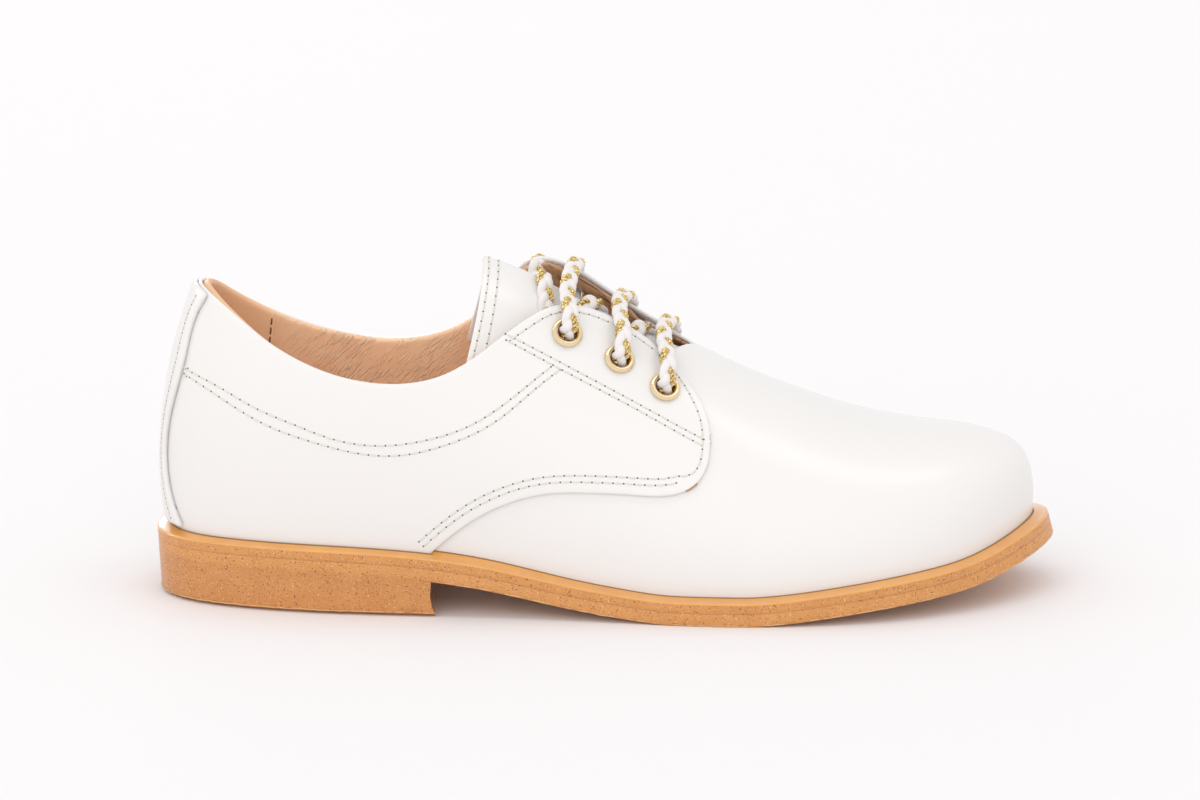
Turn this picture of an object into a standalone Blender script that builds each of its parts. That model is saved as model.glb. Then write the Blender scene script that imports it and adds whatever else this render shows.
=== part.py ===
"""A child's right derby shoe in white patent leather, on a layered tan sole with a low heel.

Every size is in millimetres and is scaled to metres as a mesh is made. X runs from the heel to the
toe, Y from the lateral side to the medial side, and Z up from the floor. The origin is on the floor,
at the middle of the shoe's box.
"""

import functools
import math

import bmesh
import bpy
import numpy as np
from mathutils import Vector

MM = 0.001
GAP = 0.3
MERGE = 0.001
ORIGIN = (0.15, 0.2, 0.0)
SIDES = ("lateral", "medial")

# Leather and sole thicknesses
WALL = 1.8
QUARTER_STEP = 1.1
STRIP = 1.0
TONGUE = 2.2
INSOLE = 2.4
INSOLE_CLEAR = 0.8
WELT_EDGE = 2.6
WELT_ROUND = 0.5
OUTSOLE_EDGE = 3.3
OUTSOLE_INSET = 0.2
OUTSOLE_ROUND = 0.8

# Hardware and lace
EYELET_FLANGE_R = 3.7
EYELET_HOLE_R = 2.3
EYELET_BARREL_R = 2.75
EYELET_FLANGE = 0.9
EYELET_ROLL = 0.45
EYELET_CUT_R = EYELET_BARREL_R + GAP
HOLE_ROD = 5.0
LACE_WIDE, LACE_THICK = 3.9, 1.9
LACE_TUCK = 4.2
LACE_TURN = 2.2
LACE_CLEAR = 0.4
RIM_STEP_T = 0.05

# How finely the forms are divided
LAST_COLUMNS, LAST_ROWS = 36, 13
SOLE_STEPS = 36
EDGE_STEPS = 72
STRIP_ROWS, STRIP_ACROSS = 12, 9
TONGUE_STEPS, TONGUE_ACROSS = 15, 17
EYELET_STEPS = 14
LACE_STEPS, LACE_SIDES = 21, 10

# How places on the last are searched for: along a line, or on a grid that is narrowed round by round
SEARCH_STEPS = 400
LOCATE_GRID, LOCATE_ROUNDS, LOCATE_ZOOM = 25, 7, 0.12
LOCATE_LOW_T, LOCATE_HIGH_T = 0.05, 0.97
SLOPE_ALONG, SLOPE_T = 0.2, 0.02

# How far cutters reach past the shoe, and past its wall
REACH = 150.0
SKIRT = 8.0
OPENING_DEPTH = 5.0

# One row for each section of the last, from the back of the heel to the tip of the toe: the edge of
# the sole on both sides, how far in the upper stands on it, how the wall bulges and rises from there,
# how full the crown is, and the place on the crest that the section's rib runs to.
SECTION_COLUMNS = ("x", "lateral_y", "medial_y", "ledge", "wall_out", "wall_rise", "crown", "crest_x")
SECTIONS = (
    (-110.9, 1.0, 1.0, 4.3, 6.0, 0.40, 0.50, -79.5),
    (-108.9, -7.5, 9.3, 4.1, 6.0, 0.40, 0.51, -79.1),
    (-103.6, -13.9, 15.2, 3.7, 6.0, 0.40, 0.54, -77.9),
    (-94.0, -19.2, 19.8, 3.4, 5.6, 0.41, 0.57, -74.8),
    (-80.0, -23.6, 23.2, 3.3, 5.2, 0.42, 0.60, -68.2),
    (-62.0, -26.6, 24.8, 3.3, 5.0, 0.44, 0.60, -57.0),
    (-40.0, -28.6, 24.6, 3.3, 5.0, 0.46, 0.58, -38.5),
    (-18.0, -30.6, 25.0, 3.2, 4.8, 0.48, 0.55, -18.0),
    (4.0, -33.6, 28.6, 3.2, 4.2, 0.49, 0.54, 3.0),
    (24.0, -36.3, 33.4, 3.2, 3.4, 0.50, 0.54, 22.0),
    (42.0, -36.8, 36.8, 3.2, 2.7, 0.52, 0.56, 39.0),
    (58.0, -35.2, 37.2, 3.2, 2.0, 0.55, 0.61, 53.0),
    (73.0, -31.4, 35.4, 3.2, 1.5, 0.59, 0.68, 64.5),
    (87.0, -25.0, 31.4, 3.2, 1.1, 0.66, 0.79, 72.5),
    (98.0, -17.2, 26.2, 3.2, 0.8, 0.71, 0.86, 76.6),
    (107.0, -7.0, 18.0, 3.2, 0.6, 0.73, 0.89, 78.2),
    (111.6, 5.4, 5.4, 3.2, 0.5, 0.74, 0.90, 78.6),
)

# The crest of the last: the vamp and the instep, and behind them the cone over the ankle
CREST_COLUMNS = ("x", "y", "z")
CREST = (
    (-112.0, 1.5, 101.0),
    (-84.0, 1.5, 101.0),
    (-60.0, 2.2, 99.5),
    (-42.0, 3.0, 94.0),
    (-27.0, 3.5, 87.0),
    (-8.0, 4.0, 76.4),
    (8.0, 4.2, 67.6),
    (23.0, 4.4, 60.2),
    (36.0, 4.7, 53.9),
    (48.0, 5.0, 49.0),
    (58.0, 5.3, 45.4),
    (67.0, 5.5, 42.9),
    (78.0, 5.6, 40.9),
    (93.0, 5.6, 40.0),
    (112.0, 5.6, 40.4),
)

# The sole along its length: its underside, and how far its top slopes up from the lip to the upper
SOLE_COLUMNS = ("x", "underside_z", "slope_rise")
SOLE = (
    (-112.0, 10.4, 2.0),
    (-80.0, 10.4, 2.0),
    (-60.0, 10.0, 2.0),
    (-42.0, 8.8, 1.9),
    (-29.0, 7.0, 1.7),
    (-11.0, 3.4, 1.3),
    (4.0, 1.1, 1.0),
    (14.0, 0.1, 0.9),
    (22.0, 0.0, 0.9),
    (34.0, 0.0, 0.9),
    (44.0, 0.7, 0.9),
    (56.0, 2.1, 0.9),
    (68.0, 3.5, 1.0),
    (80.0, 4.9, 1.1),
    (90.0, 6.4, 1.2),
    (98.0, 8.5, 1.3),
    (104.0, 10.4, 1.4),
    (112.0, 13.0, 1.5),
)

# The top line on both sides, from beside the heel along the collar, over the facings and down the throat
HEEL_TOP_Z = 77.4
THROAT_X = 21.4
TOP_LINE_COLUMNS = ("lateral_x", "lateral_z", "medial_x", "medial_z")
TOP_LINE = (
    (-96.3, 75.8, -96.3, 75.0),
    (-90.4, 71.9, -90.4, 70.6),
    (-82.9, 66.6, -83.0, 66.2),
    (-73.7, 61.6, -73.0, 61.8),
    (-64.0, 58.2, -62.0, 58.9),
    (-49.5, 56.7, -49.5, 58.2),
    (-39.9, 58.5, -41.0, 60.0),
    (-32.2, 62.4, -33.2, 64.0),
    (-25.0, 67.4, -27.2, 70.0),
    (-18.5, 71.4, -22.0, 76.4),
    (-11.5, 73.6, -15.6, 79.8),
    (-4.5, 72.6, -7.6, 77.0),
    (3.4, 69.0, 0.0, 72.2),
    (9.0, 65.6, 8.0, 67.2),
    (14.0, 62.8, 14.0, 64.2),
)

# The front edge of the quarters, seen from the side: up from the sole, round the corner, to the throat
QUARTER_EDGE_COLUMNS = ("x", "z")
QUARTER_EDGE = (
    (-48.0, 9.6),
    (-42.2, 15.5),
    (-33.4, 23.0),
    (-24.2, 28.3),
    (-14.6, 31.0),
    (-4.5, 31.5),
    (8.0, 31.1),
    (15.6, 31.3),
    (19.6, 32.4),
    (22.7, 34.5),
    (24.6, 37.4),
    (25.5, 42.2),
    (25.0, 47.4),
    (22.6, 53.0),
    (19.4, 57.4),
    (17.2, 61.4),
    (16.6, 68.0),
)

# How far each facing stands off the instep at its edge, and where it starts to
FACING_LIFT = {"lateral": 1.0, "medial": 8.0}
LIFT_FROM_T, LIFT_FULL_T = 0.42, 0.72
LIFT_FRONT_X, LIFT_PEAK_X, LIFT_BACK_X = 24.0, -10.0, -46.0

# The three pairs of eyelets on the facings
EYELET_COLUMNS = ("lateral_x", "lateral_z", "medial_x", "medial_z")
EYELETS = (
    (-9.4, 67.8, -8.0, 70.4),
    (3.2, 61.4, 4.6, 63.6),
    (14.2, 54.8, 15.6, 56.4),
)

# The back strip's half width from the sole to the top line, and what it leaves free at both ends
STRIP_COLUMNS = ("z", "half_width")
BACK_STRIP = (
    (10.0, 18.5),
    (17.0, 15.0),
    (24.0, 11.4),
    (34.0, 8.3),
    (42.0, 8.4),
    (52.0, 11.0),
    (62.0, 12.6),
    (72.0, 13.0),
    (77.0, 15.4),
    (84.0, 19.0),
)
STRIP_FOOT = 0.5
STRIP_TOP_T = 0.005

# The tongue from its free end to where it meets the vamp: its place on the crest, how far its sides lie
# behind its middle, how far down the wall they hang, and how far its middle and its sides, which make
# room for the lace, lie under the upper
TONGUE_COLUMNS = ("crest_x", "fall_back", "hang", "crest_sink", "side_sink")
TONGUE_ROWS = (
    (-27.2, 6.4, 0.56, 2.9, 2.2),
    (-18.0, 5.0, 0.54, 1.5, 2.6),
    (-10.0, 3.5, 0.50, 1.2, 3.6),
    (4.0, 1.5, 0.42, 1.0, 3.6),
    (14.0, 0.5, 0.34, 0.8, 2.4),
    (20.0, 0.0, 0.28, 0.6, 0.6),
    (26.0, 0.0, 0.24, 0.6, 0.6),
)
TONGUE_CREST = 0.1

# The heel block
HEEL_BREAST_X = -41.5
HEEL_BREAST_HOLLOW = 1.2
HEEL_HALF_WIDTH = 26.0
HEEL_TAPER = 0.6
HEEL_WAIST = 0.55

# Material colours, linear
WHITE_LEATHER = (0.86, 0.85, 0.82)
TAN_LINING = (0.53, 0.31, 0.19)
TAN_WELT = (0.58, 0.27, 0.075)
TAN_SOLE = (0.50, 0.24, 0.085)
GOLD = (0.83, 0.58, 0.22)
LACE_WHITE = (0.82, 0.78, 0.74)


class Curve:
    """A cubic curve with continuous curvature through rows of values, open or closed."""

    def __init__(self, knots, values, closed=False):
        self.knots = np.asarray(knots, float)
        self.values = np.asarray(values, float)
        self.closed = closed
        self.bends = self._bends()

    def _bends(self):
        """The second derivative at each knot: none at open ends, the same at both ends if closed."""
        step = np.diff(self.knots)
        rise = np.diff(self.values, axis=0) / step[:, None]
        count = len(self.knots)
        system = np.eye(count)
        right = np.zeros_like(self.values)
        for i in range(1, count - 1):
            system[i, i - 1 : i + 2] = step[i - 1], 2 * (step[i - 1] + step[i]), step[i]
            right[i] = 6 * (rise[i] - rise[i - 1])
        if self.closed:
            system[0, 0], system[0, 1] = 2 * (step[-1] + step[0]), step[0]
            system[0, count - 2] = step[-1]
            right[0] = 6 * (rise[0] - rise[-1])
            system[-1, 0] = -1
        return np.linalg.solve(system, right)

    def _place(self, at):
        at = np.asarray(at, float)
        if self.closed:
            at = self.knots[0] + (at - self.knots[0]) % (self.knots[-1] - self.knots[0])
        else:
            at = np.clip(at, self.knots[0], self.knots[-1])
        i = np.clip(np.searchsorted(self.knots, at, "right") - 1, 0, len(self.knots) - 2)
        step = self.knots[i + 1] - self.knots[i]
        return i, step[..., None], ((self.knots[i + 1] - at) / step)[..., None]

    def __call__(self, at):
        i, step, a = self._place(at)
        b = 1 - a
        bend = (a**3 - a) * self.bends[i] + (b**3 - b) * self.bends[i + 1]
        return a * self.values[i] + b * self.values[i + 1] + bend * step**2 / 6

    def slope(self, at):
        i, step, a = self._place(at)
        b = 1 - a
        bend = (3 * b**2 - 1) * self.bends[i + 1] - (3 * a**2 - 1) * self.bends[i]
        return (self.values[i + 1] - self.values[i]) / step + bend * step / 6


def named(columns, rows):
    """The rows of a table, with each value under its column's name."""
    return [dict(zip(columns, row)) for row in rows]


def curve_of(columns, rows, *names):
    """A curve of the named columns over the table's first column."""
    values = np.array(rows, float)
    return Curve(values[:, 0], values[:, [columns.index(name) for name in names]])


def smooth_line(points, count):
    """Evenly spread points on the smooth curve through the points given."""
    points = np.asarray(points, float)
    chords = np.linalg.norm(np.diff(points, axis=0), axis=1)
    knots = np.concatenate([[0], np.cumsum(chords)])
    return Curve(knots, points)(np.linspace(0, knots[-1], count))


def smooth_step(value):
    value = np.clip(value, 0, 1)
    return value * value * (3 - 2 * value)


def perimeter_curve():
    """The closed edge of the sole with the rib columns along it, and the parameter of the toe's tip."""
    rows = np.array(SECTIONS, float)
    lateral = np.delete(rows, SECTION_COLUMNS.index("medial_y"), axis=1)
    medial = np.delete(rows, SECTION_COLUMNS.index("lateral_y"), axis=1)
    chords = [np.linalg.norm(np.diff(side[:, :2], axis=0), axis=1) for side in (lateral, medial)]
    along = np.concatenate([[0], np.cumsum(np.mean(chords, axis=0))])
    knots = np.concatenate([along, 2 * along[-1] - along[-2::-1]])
    return Curve(knots, np.vstack([lateral, medial[-2::-1]]), closed=True), along[-1]


SIDE_COLUMNS = ("x", "y", *SECTION_COLUMNS[3:])
PERIMETER, TOE = perimeter_curve()
CREST_CURVE = curve_of(CREST_COLUMNS, CREST, "y", "z")
SOLE_CURVE = curve_of(SOLE_COLUMNS, SOLE, "underside_z", "slope_rise")


def underside_z(x):
    return np.maximum(SOLE_CURVE(x)[..., 0], 0)


def lip_height(x):
    return OUTSOLE_EDGE + WELT_EDGE + 0 * x


def feather_height(x):
    """The height over the underside of the line where the upper meets the sole."""
    return lip_height(x) + SOLE_CURVE(x)[..., 1]


def on_sole(plan, height):
    """Points over places in plan, at a height square to the bent underside."""
    x, y = plan[..., 0], plan[..., 1]
    lean = np.arctan(SOLE_CURVE.slope(x)[..., 0])
    return np.stack([x - height * np.sin(lean), y, underside_z(x) + height * np.cos(lean)], -1)


def outline(along, inset=0.0):
    """Points on the edge of the sole, moved inwards by inset."""
    edge = PERIMETER(along)[..., :2]
    tangent = PERIMETER.slope(along)[..., :2]
    tangent = tangent / np.linalg.norm(tangent, axis=-1, keepdims=True)
    inward = np.stack([-tangent[..., 1], tangent[..., 0]], -1)
    return edge + inward * np.asarray(inset)[..., None]


def crest_along(x):
    """The lateral parameter of the rib that runs to a place on the crest."""
    along = np.linspace(0, TOE, SEARCH_STEPS)
    return np.interp(x, PERIMETER(along)[:, -1], along)


def last_surface(along, t):
    """Points on the last: ribs at the parameters along, each from the feather line up to the crest."""
    along, t = np.broadcast_arrays(np.asarray(along, float), np.asarray(t, float))
    ledge, wall_out, wall_rise, crown, crest_x = np.moveaxis(PERIMETER(along)[..., 2:], -1, 0)
    plan = outline(along, ledge)
    foot, low = np.split(on_sole(plan, feather_height(plan[..., 0])), [2], axis=-1)
    top = np.stack([crest_x, CREST_CURVE(crest_x)[..., 0]], -1)
    reach = np.linalg.norm(top - foot, axis=-1)
    s = 1 - t
    inward = -3 * s * s * t * wall_out + (3 * s * t * t * (1 - crown) + t**3) * reach
    rise = 3 * s * s * t * wall_rise + 3 * s * t * t + t**3
    place = foot + (top - foot) * (inward / reach)[..., None]
    z = low + (CREST_CURVE(place[..., 0])[..., 1:] - low) * rise[..., None]
    return np.concatenate([place, z], -1)


def normal_of(surface, along, t):
    """The outward normal of a surface of the two parameters."""
    t = np.clip(t, SLOPE_T, 1 - SLOPE_T)
    ahead = surface(along + SLOPE_ALONG, t) - surface(along - SLOPE_ALONG, t)
    up = surface(along, t + SLOPE_T) - surface(along, t - SLOPE_T)
    normal = np.cross(ahead, up)
    return normal / np.linalg.norm(normal, axis=-1, keepdims=True)


def facing_lift(along, t):
    """How far a facing stands off the last: nothing away from the throat, most at the facing's edge."""
    x = last_surface(along, t)[..., 0]
    most = np.where(np.asarray(along) % (2 * TOE) < TOE, FACING_LIFT["lateral"], FACING_LIFT["medial"])
    middle = sum(FACING_LIFT.values()) / 2
    most = most + (middle - most) * smooth_step((t - LIFT_FULL_T) / (1 - LIFT_FULL_T))
    front = smooth_step((LIFT_FRONT_X - x) / (LIFT_FRONT_X - LIFT_PEAK_X))
    back = smooth_step((x - LIFT_BACK_X) / (LIFT_PEAK_X - LIFT_BACK_X))
    edge = smooth_step((t - LIFT_FROM_T) / (LIFT_FULL_T - LIFT_FROM_T))
    return most * front * back * edge


def last_points(along, t, offset, lifted=True):
    """Points at a distance outside the last, with the facings lifted off it or not."""
    along, t = np.broadcast_arrays(np.asarray(along, float), np.asarray(t, float))
    distance = offset + (facing_lift(along, t) if lifted else np.zeros_like(t))
    return last_surface(along, t) + normal_of(last_surface, along, t) * distance[..., None]


def facing_surface(along, t):
    return last_points(along, t, QUARTER_STEP)


def facing_normal(along, t):
    """The outward normal of a facing, lifted as it is."""
    return normal_of(facing_surface, along, t)


def locate(row, side):
    """The parameters of the point on one side's quarter that is at the row's x and z for that side."""
    aim = np.array([row[f"{side}_x"], row[f"{side}_z"]])
    start, end = (0, TOE) if side == "lateral" else (TOE, 2 * TOE)
    low, high = np.array([start, LOCATE_LOW_T]), np.array([end, LOCATE_HIGH_T])
    for _ in range(LOCATE_ROUNDS):
        columns, rows = (np.linspace(low[i], high[i], LOCATE_GRID) for i in (0, 1))
        along, t = np.meshgrid(columns, rows)
        miss = np.linalg.norm(facing_surface(along, t)[..., [0, 2]] - aim, axis=-1)
        best = np.unravel_index(np.argmin(miss), miss.shape)
        found = np.array([along[best], t[best]])
        span = (high - low) * LOCATE_ZOOM
        low, high = found - span, found + span
    return found


def in_metres(points):
    return (points - np.array(ORIGIN)) * MM


def new_object(name, points, faces):
    """An object from points in millimetres, with doubled points merged and its faces turned outwards."""
    mesh = bpy.data.meshes.new(name)
    mesh.from_pydata([tuple(p) for p in in_metres(np.reshape(points, (-1, 3)))], [], faces)
    work = bmesh.new()
    work.from_mesh(mesh)
    bmesh.ops.remove_doubles(work, verts=work.verts, dist=MERGE * MM)
    bmesh.ops.recalc_face_normals(work, faces=work.faces)
    if work.calc_volume(signed=True) < 0:
        bmesh.ops.reverse_faces(work, faces=work.faces)
    work.to_mesh(mesh)
    work.free()
    obj = bpy.data.objects.new(name, mesh)
    bpy.context.scene.collection.objects.link(obj)
    return obj


def as_helper(obj):
    """Marks an object as a cutter or a guide."""
    obj.hide_render = True
    obj.display_type = "WIRE"
    return obj


def boolean(obj, other, operation):
    modifier = obj.modifiers.new(f"{operation.lower()}_{other.name}", "BOOLEAN")
    modifier.operation = operation
    modifier.object = other


def band_faces(rows, columns, closed=True):
    """The faces of a grid of points, whose columns may close into a ring."""
    faces = []
    for i in range(rows - 1):
        for j in range(columns if closed else columns - 1):
            n = (j + 1) % columns
            faces.append((i * columns + j, i * columns + n, (i + 1) * columns + n, (i + 1) * columns + j))
    return faces


def cap_faces(size, start):
    """The faces that close a ring whose two halves mirror each other, in strips from half to half."""
    half = size // 2
    faces = [(start, start + 1, start + size - 1), (start + half - 1, start + half, start + half + 1)]
    for j in range(1, half - 1):
        faces.append((start + j, start + j + 1, start + size - j - 1, start + size - j))
    return faces


def sheet_body(name, inner, outer):
    """A closed body between two grids of points: a sheet with walls along its borders."""
    rows, columns = inner.shape[:2]
    count = rows * columns
    faces = band_faces(rows, columns, closed=False)
    faces += [tuple(count + v for v in reversed(face)) for face in faces]
    border = [(i, 0) for i in range(rows)] + [(rows - 1, j) for j in range(1, columns)]
    border += [(i, columns - 1) for i in range(rows - 2, -1, -1)]
    border += [(0, j) for j in range(columns - 2, -1, -1)]
    marks = [i * columns + j for i, j in border]
    faces += [(b, a, count + a, count + b) for a, b in zip(marks, marks[1:])]
    return new_object(name, np.concatenate([inner.reshape(-1, 3), outer.reshape(-1, 3)]), faces)


def prism(name, columns, points, low, high):
    """A closed outline in the two axes named, carried along the third from low to high, as a helper."""
    axes = ["xyz".index(column) for column in columns]
    count = len(points)
    body = np.zeros((2, count, 3))
    body[..., axes] = points
    body[..., 3 - sum(axes)] = [[low], [high]]
    faces = [tuple(range(count)), tuple(range(2 * count - 1, count - 1, -1))]
    return as_helper(new_object(name, body, faces + band_faces(2, count)))


def both_sides(columns):
    """Parameters round the whole edge, the same on both sides."""
    side = np.linspace(0, TOE, columns + 1)
    return np.concatenate([side, 2 * TOE - side[-2:0:-1]])


def last_form(name, offset):
    """The whole last as a closed body, grown by offset and carried down below the feather line."""
    along = both_sides(LAST_COLUMNS)
    size = len(along)
    walls = [last_points(along, t, offset) for t in np.linspace(0, 1, LAST_ROWS + 1)]
    mirrored = np.roll(walls[-1][::-1], 1, axis=0)
    walls[-1] = (walls[-1] + mirrored) / 2
    rings = [walls[0] - [0, 0, SKIRT], *walls]
    return new_object(name, rings, band_faces(len(rings), size) + cap_faces(size, 0))


def ring_body(name, rings):
    """A closed body through rings whose two halves mirror each other, capped at both ends."""
    size = len(rings[0])
    faces = band_faces(len(rings), size) + cap_faces(size, 0) + cap_faces(size, (len(rings) - 1) * size)
    return new_object(name, rings, faces)


def sole_edge(inset=0.0):
    """A ring in plan at the edge of the sole, moved inwards by inset."""
    return outline(both_sides(SOLE_STEPS), inset)


def feather_edge(inset=0.0):
    """A ring in plan where the upper meets the sole, moved inwards by inset."""
    along = both_sides(SOLE_STEPS)
    ledge = PERIMETER(along)[:, SIDE_COLUMNS.index("ledge")]
    return outline(along, ledge + inset)


def quarter_cutter():
    """All that lies behind and above the quarters' front edge, seen from the side."""
    edge = smooth_line(QUARTER_EDGE, EDGE_STEPS)
    far = [[edge[-1, 0], REACH], [-REACH, REACH], [-REACH, -REACH], [edge[0, 0], -REACH]]
    return prism("quarter_side", QUARTER_EDGE_COLUMNS, np.vstack([edge, far]), -REACH, REACH)


@functools.cache
def top_line():
    """The top line in the last's parameters, lateral and then medial, from the heel to the throat's end."""
    heel = heel_height_t(HEEL_TOP_Z)
    tip = float(crest_along(THROAT_X))
    marks = [[0, heel, 0, heel]]
    for row in named(TOP_LINE_COLUMNS, TOP_LINE):
        lateral, medial = (locate(row, side) for side in SIDES)
        marks.append([lateral[0], lateral[1], 2 * TOE - medial[0], medial[1]])
    return smooth_line([*marks, [tip, 1, tip, 1]], EDGE_STEPS)


def top_line_t(along):
    """How far up its rib the top line crosses it, for ribs of both sides, lateral ones from 0 to TOE."""
    line = top_line()
    along = np.asarray(along) % (2 * TOE)
    lateral = np.interp(along, line[:, 0], line[:, 1])
    return np.where(along < TOE, lateral, np.interp(2 * TOE - along, line[:, 2], line[:, 3]))


def opening_cutter():
    """What the top line opens: a funnel that stands square to the wall along it, from inside to above."""
    line = top_line()
    along = np.concatenate([line[:, 0], 2 * TOE - line[-2:0:-1, 2]])
    t = np.concatenate([line[:, 1], line[-2:0:-1, 3]])
    rings = [last_points(along, t, offset) for offset in (-OPENING_DEPTH, OPENING_DEPTH)]
    rings.append(np.column_stack([rings[1][:, :2], np.full(len(along), REACH)]))
    return as_helper(ring_body("opening", rings))


def heel_height_t(z):
    """How far up the middle of the heel's back a height is."""
    t = np.linspace(0, LOCATE_HIGH_T, SEARCH_STEPS)
    return float(np.interp(z, facing_surface(np.zeros(SEARCH_STEPS), t)[:, 2], t))


def eyelet_places():
    """Each eyelet's name, its centre on the facing's outer face, and its axis."""
    places = []
    for number, row in enumerate(named(EYELET_COLUMNS, EYELETS), 1):
        for side in SIDES:
            along, t = locate(row, side)
            places.append((f"eyelet_{side}_{number}", facing_surface(along, t), facing_normal(along, t)))
    return places


def turned(name, profile, centre, axis, steps):
    """A closed profile of radius and height, turned about an axis through centre."""
    turn = Vector((0, 0, 1)).rotation_difference(Vector(axis)).to_matrix()
    rings = []
    for angle in np.linspace(0, 2 * math.pi, steps, endpoint=False):
        for radius, height in profile:
            spoke = Vector((radius * math.cos(angle), radius * math.sin(angle), height))
            rings.append(np.array(turn @ spoke) + centre)
    count = len(profile)
    faces = []
    for i in range(steps):
        for j in range(count):
            n, m = (i + 1) % steps, (j + 1) % count
            faces.append((i * count + j, n * count + j, n * count + m, i * count + m))
    return new_object(name, rings, faces)


def eyelet_hole_cutters():
    """One helper with a rod through the upper at each eyelet."""
    points, faces = [], []
    for _, centre, axis in eyelet_places():
        turn = Vector((0, 0, 1)).rotation_difference(Vector(axis)).to_matrix()
        start = len(points)
        for height in (-HOLE_ROD, HOLE_ROD):
            for angle in np.linspace(0, 2 * math.pi, EYELET_STEPS, endpoint=False):
                spoke = (EYELET_CUT_R * math.cos(angle), EYELET_CUT_R * math.sin(angle), height)
                points.append(np.array(turn @ Vector(spoke)) + centre)
        ends = (range(EYELET_STEPS), range(2 * EYELET_STEPS - 1, EYELET_STEPS - 1, -1))
        rod = band_faces(2, EYELET_STEPS) + [tuple(end) for end in ends]
        faces += [tuple(start + v for v in face) for face in rod]
    return as_helper(new_object("eyelet_holes", points, faces))


def make_upper():
    """Vamp and quarters as one hollow wall, with the quarters a step proud of the vamp."""
    upper = last_form("upper", 0.0)
    quarters = as_helper(last_form("quarters", QUARTER_STEP))
    boolean(quarters, quarter_cutter(), "INTERSECT")
    boolean(upper, quarters, "UNION")
    boolean(upper, as_helper(last_form("hollow", -WALL)), "DIFFERENCE")
    x = np.linspace(SOLE[0][0], SOLE[-1][0], SOLE_STEPS * 2)
    seam = on_sole(np.column_stack([x, 0 * x]), feather_height(x) + GAP)[:, [0, 2]]
    seam = np.vstack([[-REACH, seam[0, 1]], seam, [REACH, seam[-1, 1]]])
    ground = np.vstack([seam, [[REACH, -REACH], [-REACH, -REACH]]])
    boolean(upper, prism("below", ("x", "z"), ground, -REACH, REACH), "DIFFERENCE")
    boolean(upper, opening_cutter(), "DIFFERENCE")
    boolean(upper, eyelet_hole_cutters(), "DIFFERENCE")
    return upper


def make_back_strip():
    """The strip sewn over the seam at the back of the heel, from the sole to the top line."""
    width = curve_of(STRIP_COLUMNS, BACK_STRIP, "half_width")
    low = heel_height_t(last_surface(0.0, 0.0)[2] + STRIP_FOOT)
    high = heel_height_t(HEEL_TOP_Z)
    rows = np.linspace(0, 1, STRIP_ROWS)[:, None]
    middle = last_points(np.zeros(STRIP_ROWS), low + (high - low) * rows[:, 0], 0)
    along = width(middle[:, 2]) * np.linspace(-1, 1, STRIP_ACROSS)
    t = low + (top_line_t(along) - STRIP_TOP_T - low) * rows
    inner = last_points(along, t, QUARTER_STEP + GAP)
    outer = last_points(along, t, QUARTER_STEP + GAP + STRIP)
    return sheet_body("back_strip", inner, outer)


def make_tongue():
    """The tongue under the facings, from under the vamp to its free end above the collar."""
    across = np.linspace(-1, 1, TONGUE_ACROSS)
    middle = TONGUE_ACROSS // 2
    outer, inner = [], []
    for row in named(TONGUE_COLUMNS, smooth_line(TONGUE_ROWS, TONGUE_STEPS)):
        side = crest_along(row["crest_x"] - row["fall_back"] * across**2)
        along = np.where(across < 0, side, 2 * TOE - side)
        t = 1 - row["hang"] * np.abs(across)
        sink = row["crest_sink"] + (row["side_sink"] - row["crest_sink"]) * np.abs(across)
        for face, depth in ((outer, 0.0), (inner, TONGUE)):
            line = last_points(along, t, -(WALL + sink + depth), lifted=False)
            line[middle] = (line[middle - 1] + line[middle + 1]) / 2 + [0, 0, TONGUE_CREST]
            face.append(line)
    return sheet_body("tongue", np.array(inner), np.array(outer))


def make_insole():
    plan = feather_edge(WALL + INSOLE_CLEAR)
    foot = feather_height(plan[:, 0]) + GAP
    return ring_body("insole", [on_sole(plan, foot), on_sole(plan, foot + INSOLE)])


def make_welt():
    """The welt: a plain edge, a lip, and a top that slopes up to the upper."""
    feather = feather_edge()
    rings = [
        on_sole(sole_edge(WELT_ROUND), OUTSOLE_EDGE),
        on_sole(sole_edge(), OUTSOLE_EDGE + WELT_ROUND),
        on_sole(sole_edge(), OUTSOLE_EDGE + WELT_EDGE),
        on_sole(feather, feather_height(feather[:, 0])),
    ]
    return ring_body("welt", rings)


def make_outsole():
    rings = [
        on_sole(sole_edge(OUTSOLE_ROUND), 0.0),
        on_sole(sole_edge(OUTSOLE_INSET), OUTSOLE_ROUND),
        on_sole(sole_edge(OUTSOLE_INSET), OUTSOLE_EDGE - GAP),
    ]
    return ring_body("outsole", rings)


def make_heel():
    """The heel block, hollowed a little down its side and across its breast."""
    foot = sole_edge(HEEL_TAPER)
    rings = [
        np.column_stack([foot, np.zeros(len(foot))]),
        on_sole(foot, -underside_z(foot[:, 0]) * HEEL_WAIST),
        on_sole(sole_edge(OUTSOLE_INSET), -GAP),
    ]
    heel = ring_body("heel", rings)
    y = np.linspace(-REACH, REACH, SOLE_STEPS)
    hollow = HEEL_BREAST_HOLLOW * (1 - np.minimum(1, np.abs(y) / HEEL_HALF_WIDTH) ** 2)
    breast = np.column_stack([HEEL_BREAST_X - hollow, y])
    front = np.vstack([breast, [[REACH, REACH], [REACH, -REACH]]])
    boolean(heel, prism("heel_front", ("x", "y"), front, -REACH, REACH), "DIFFERENCE")
    return heel


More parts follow.
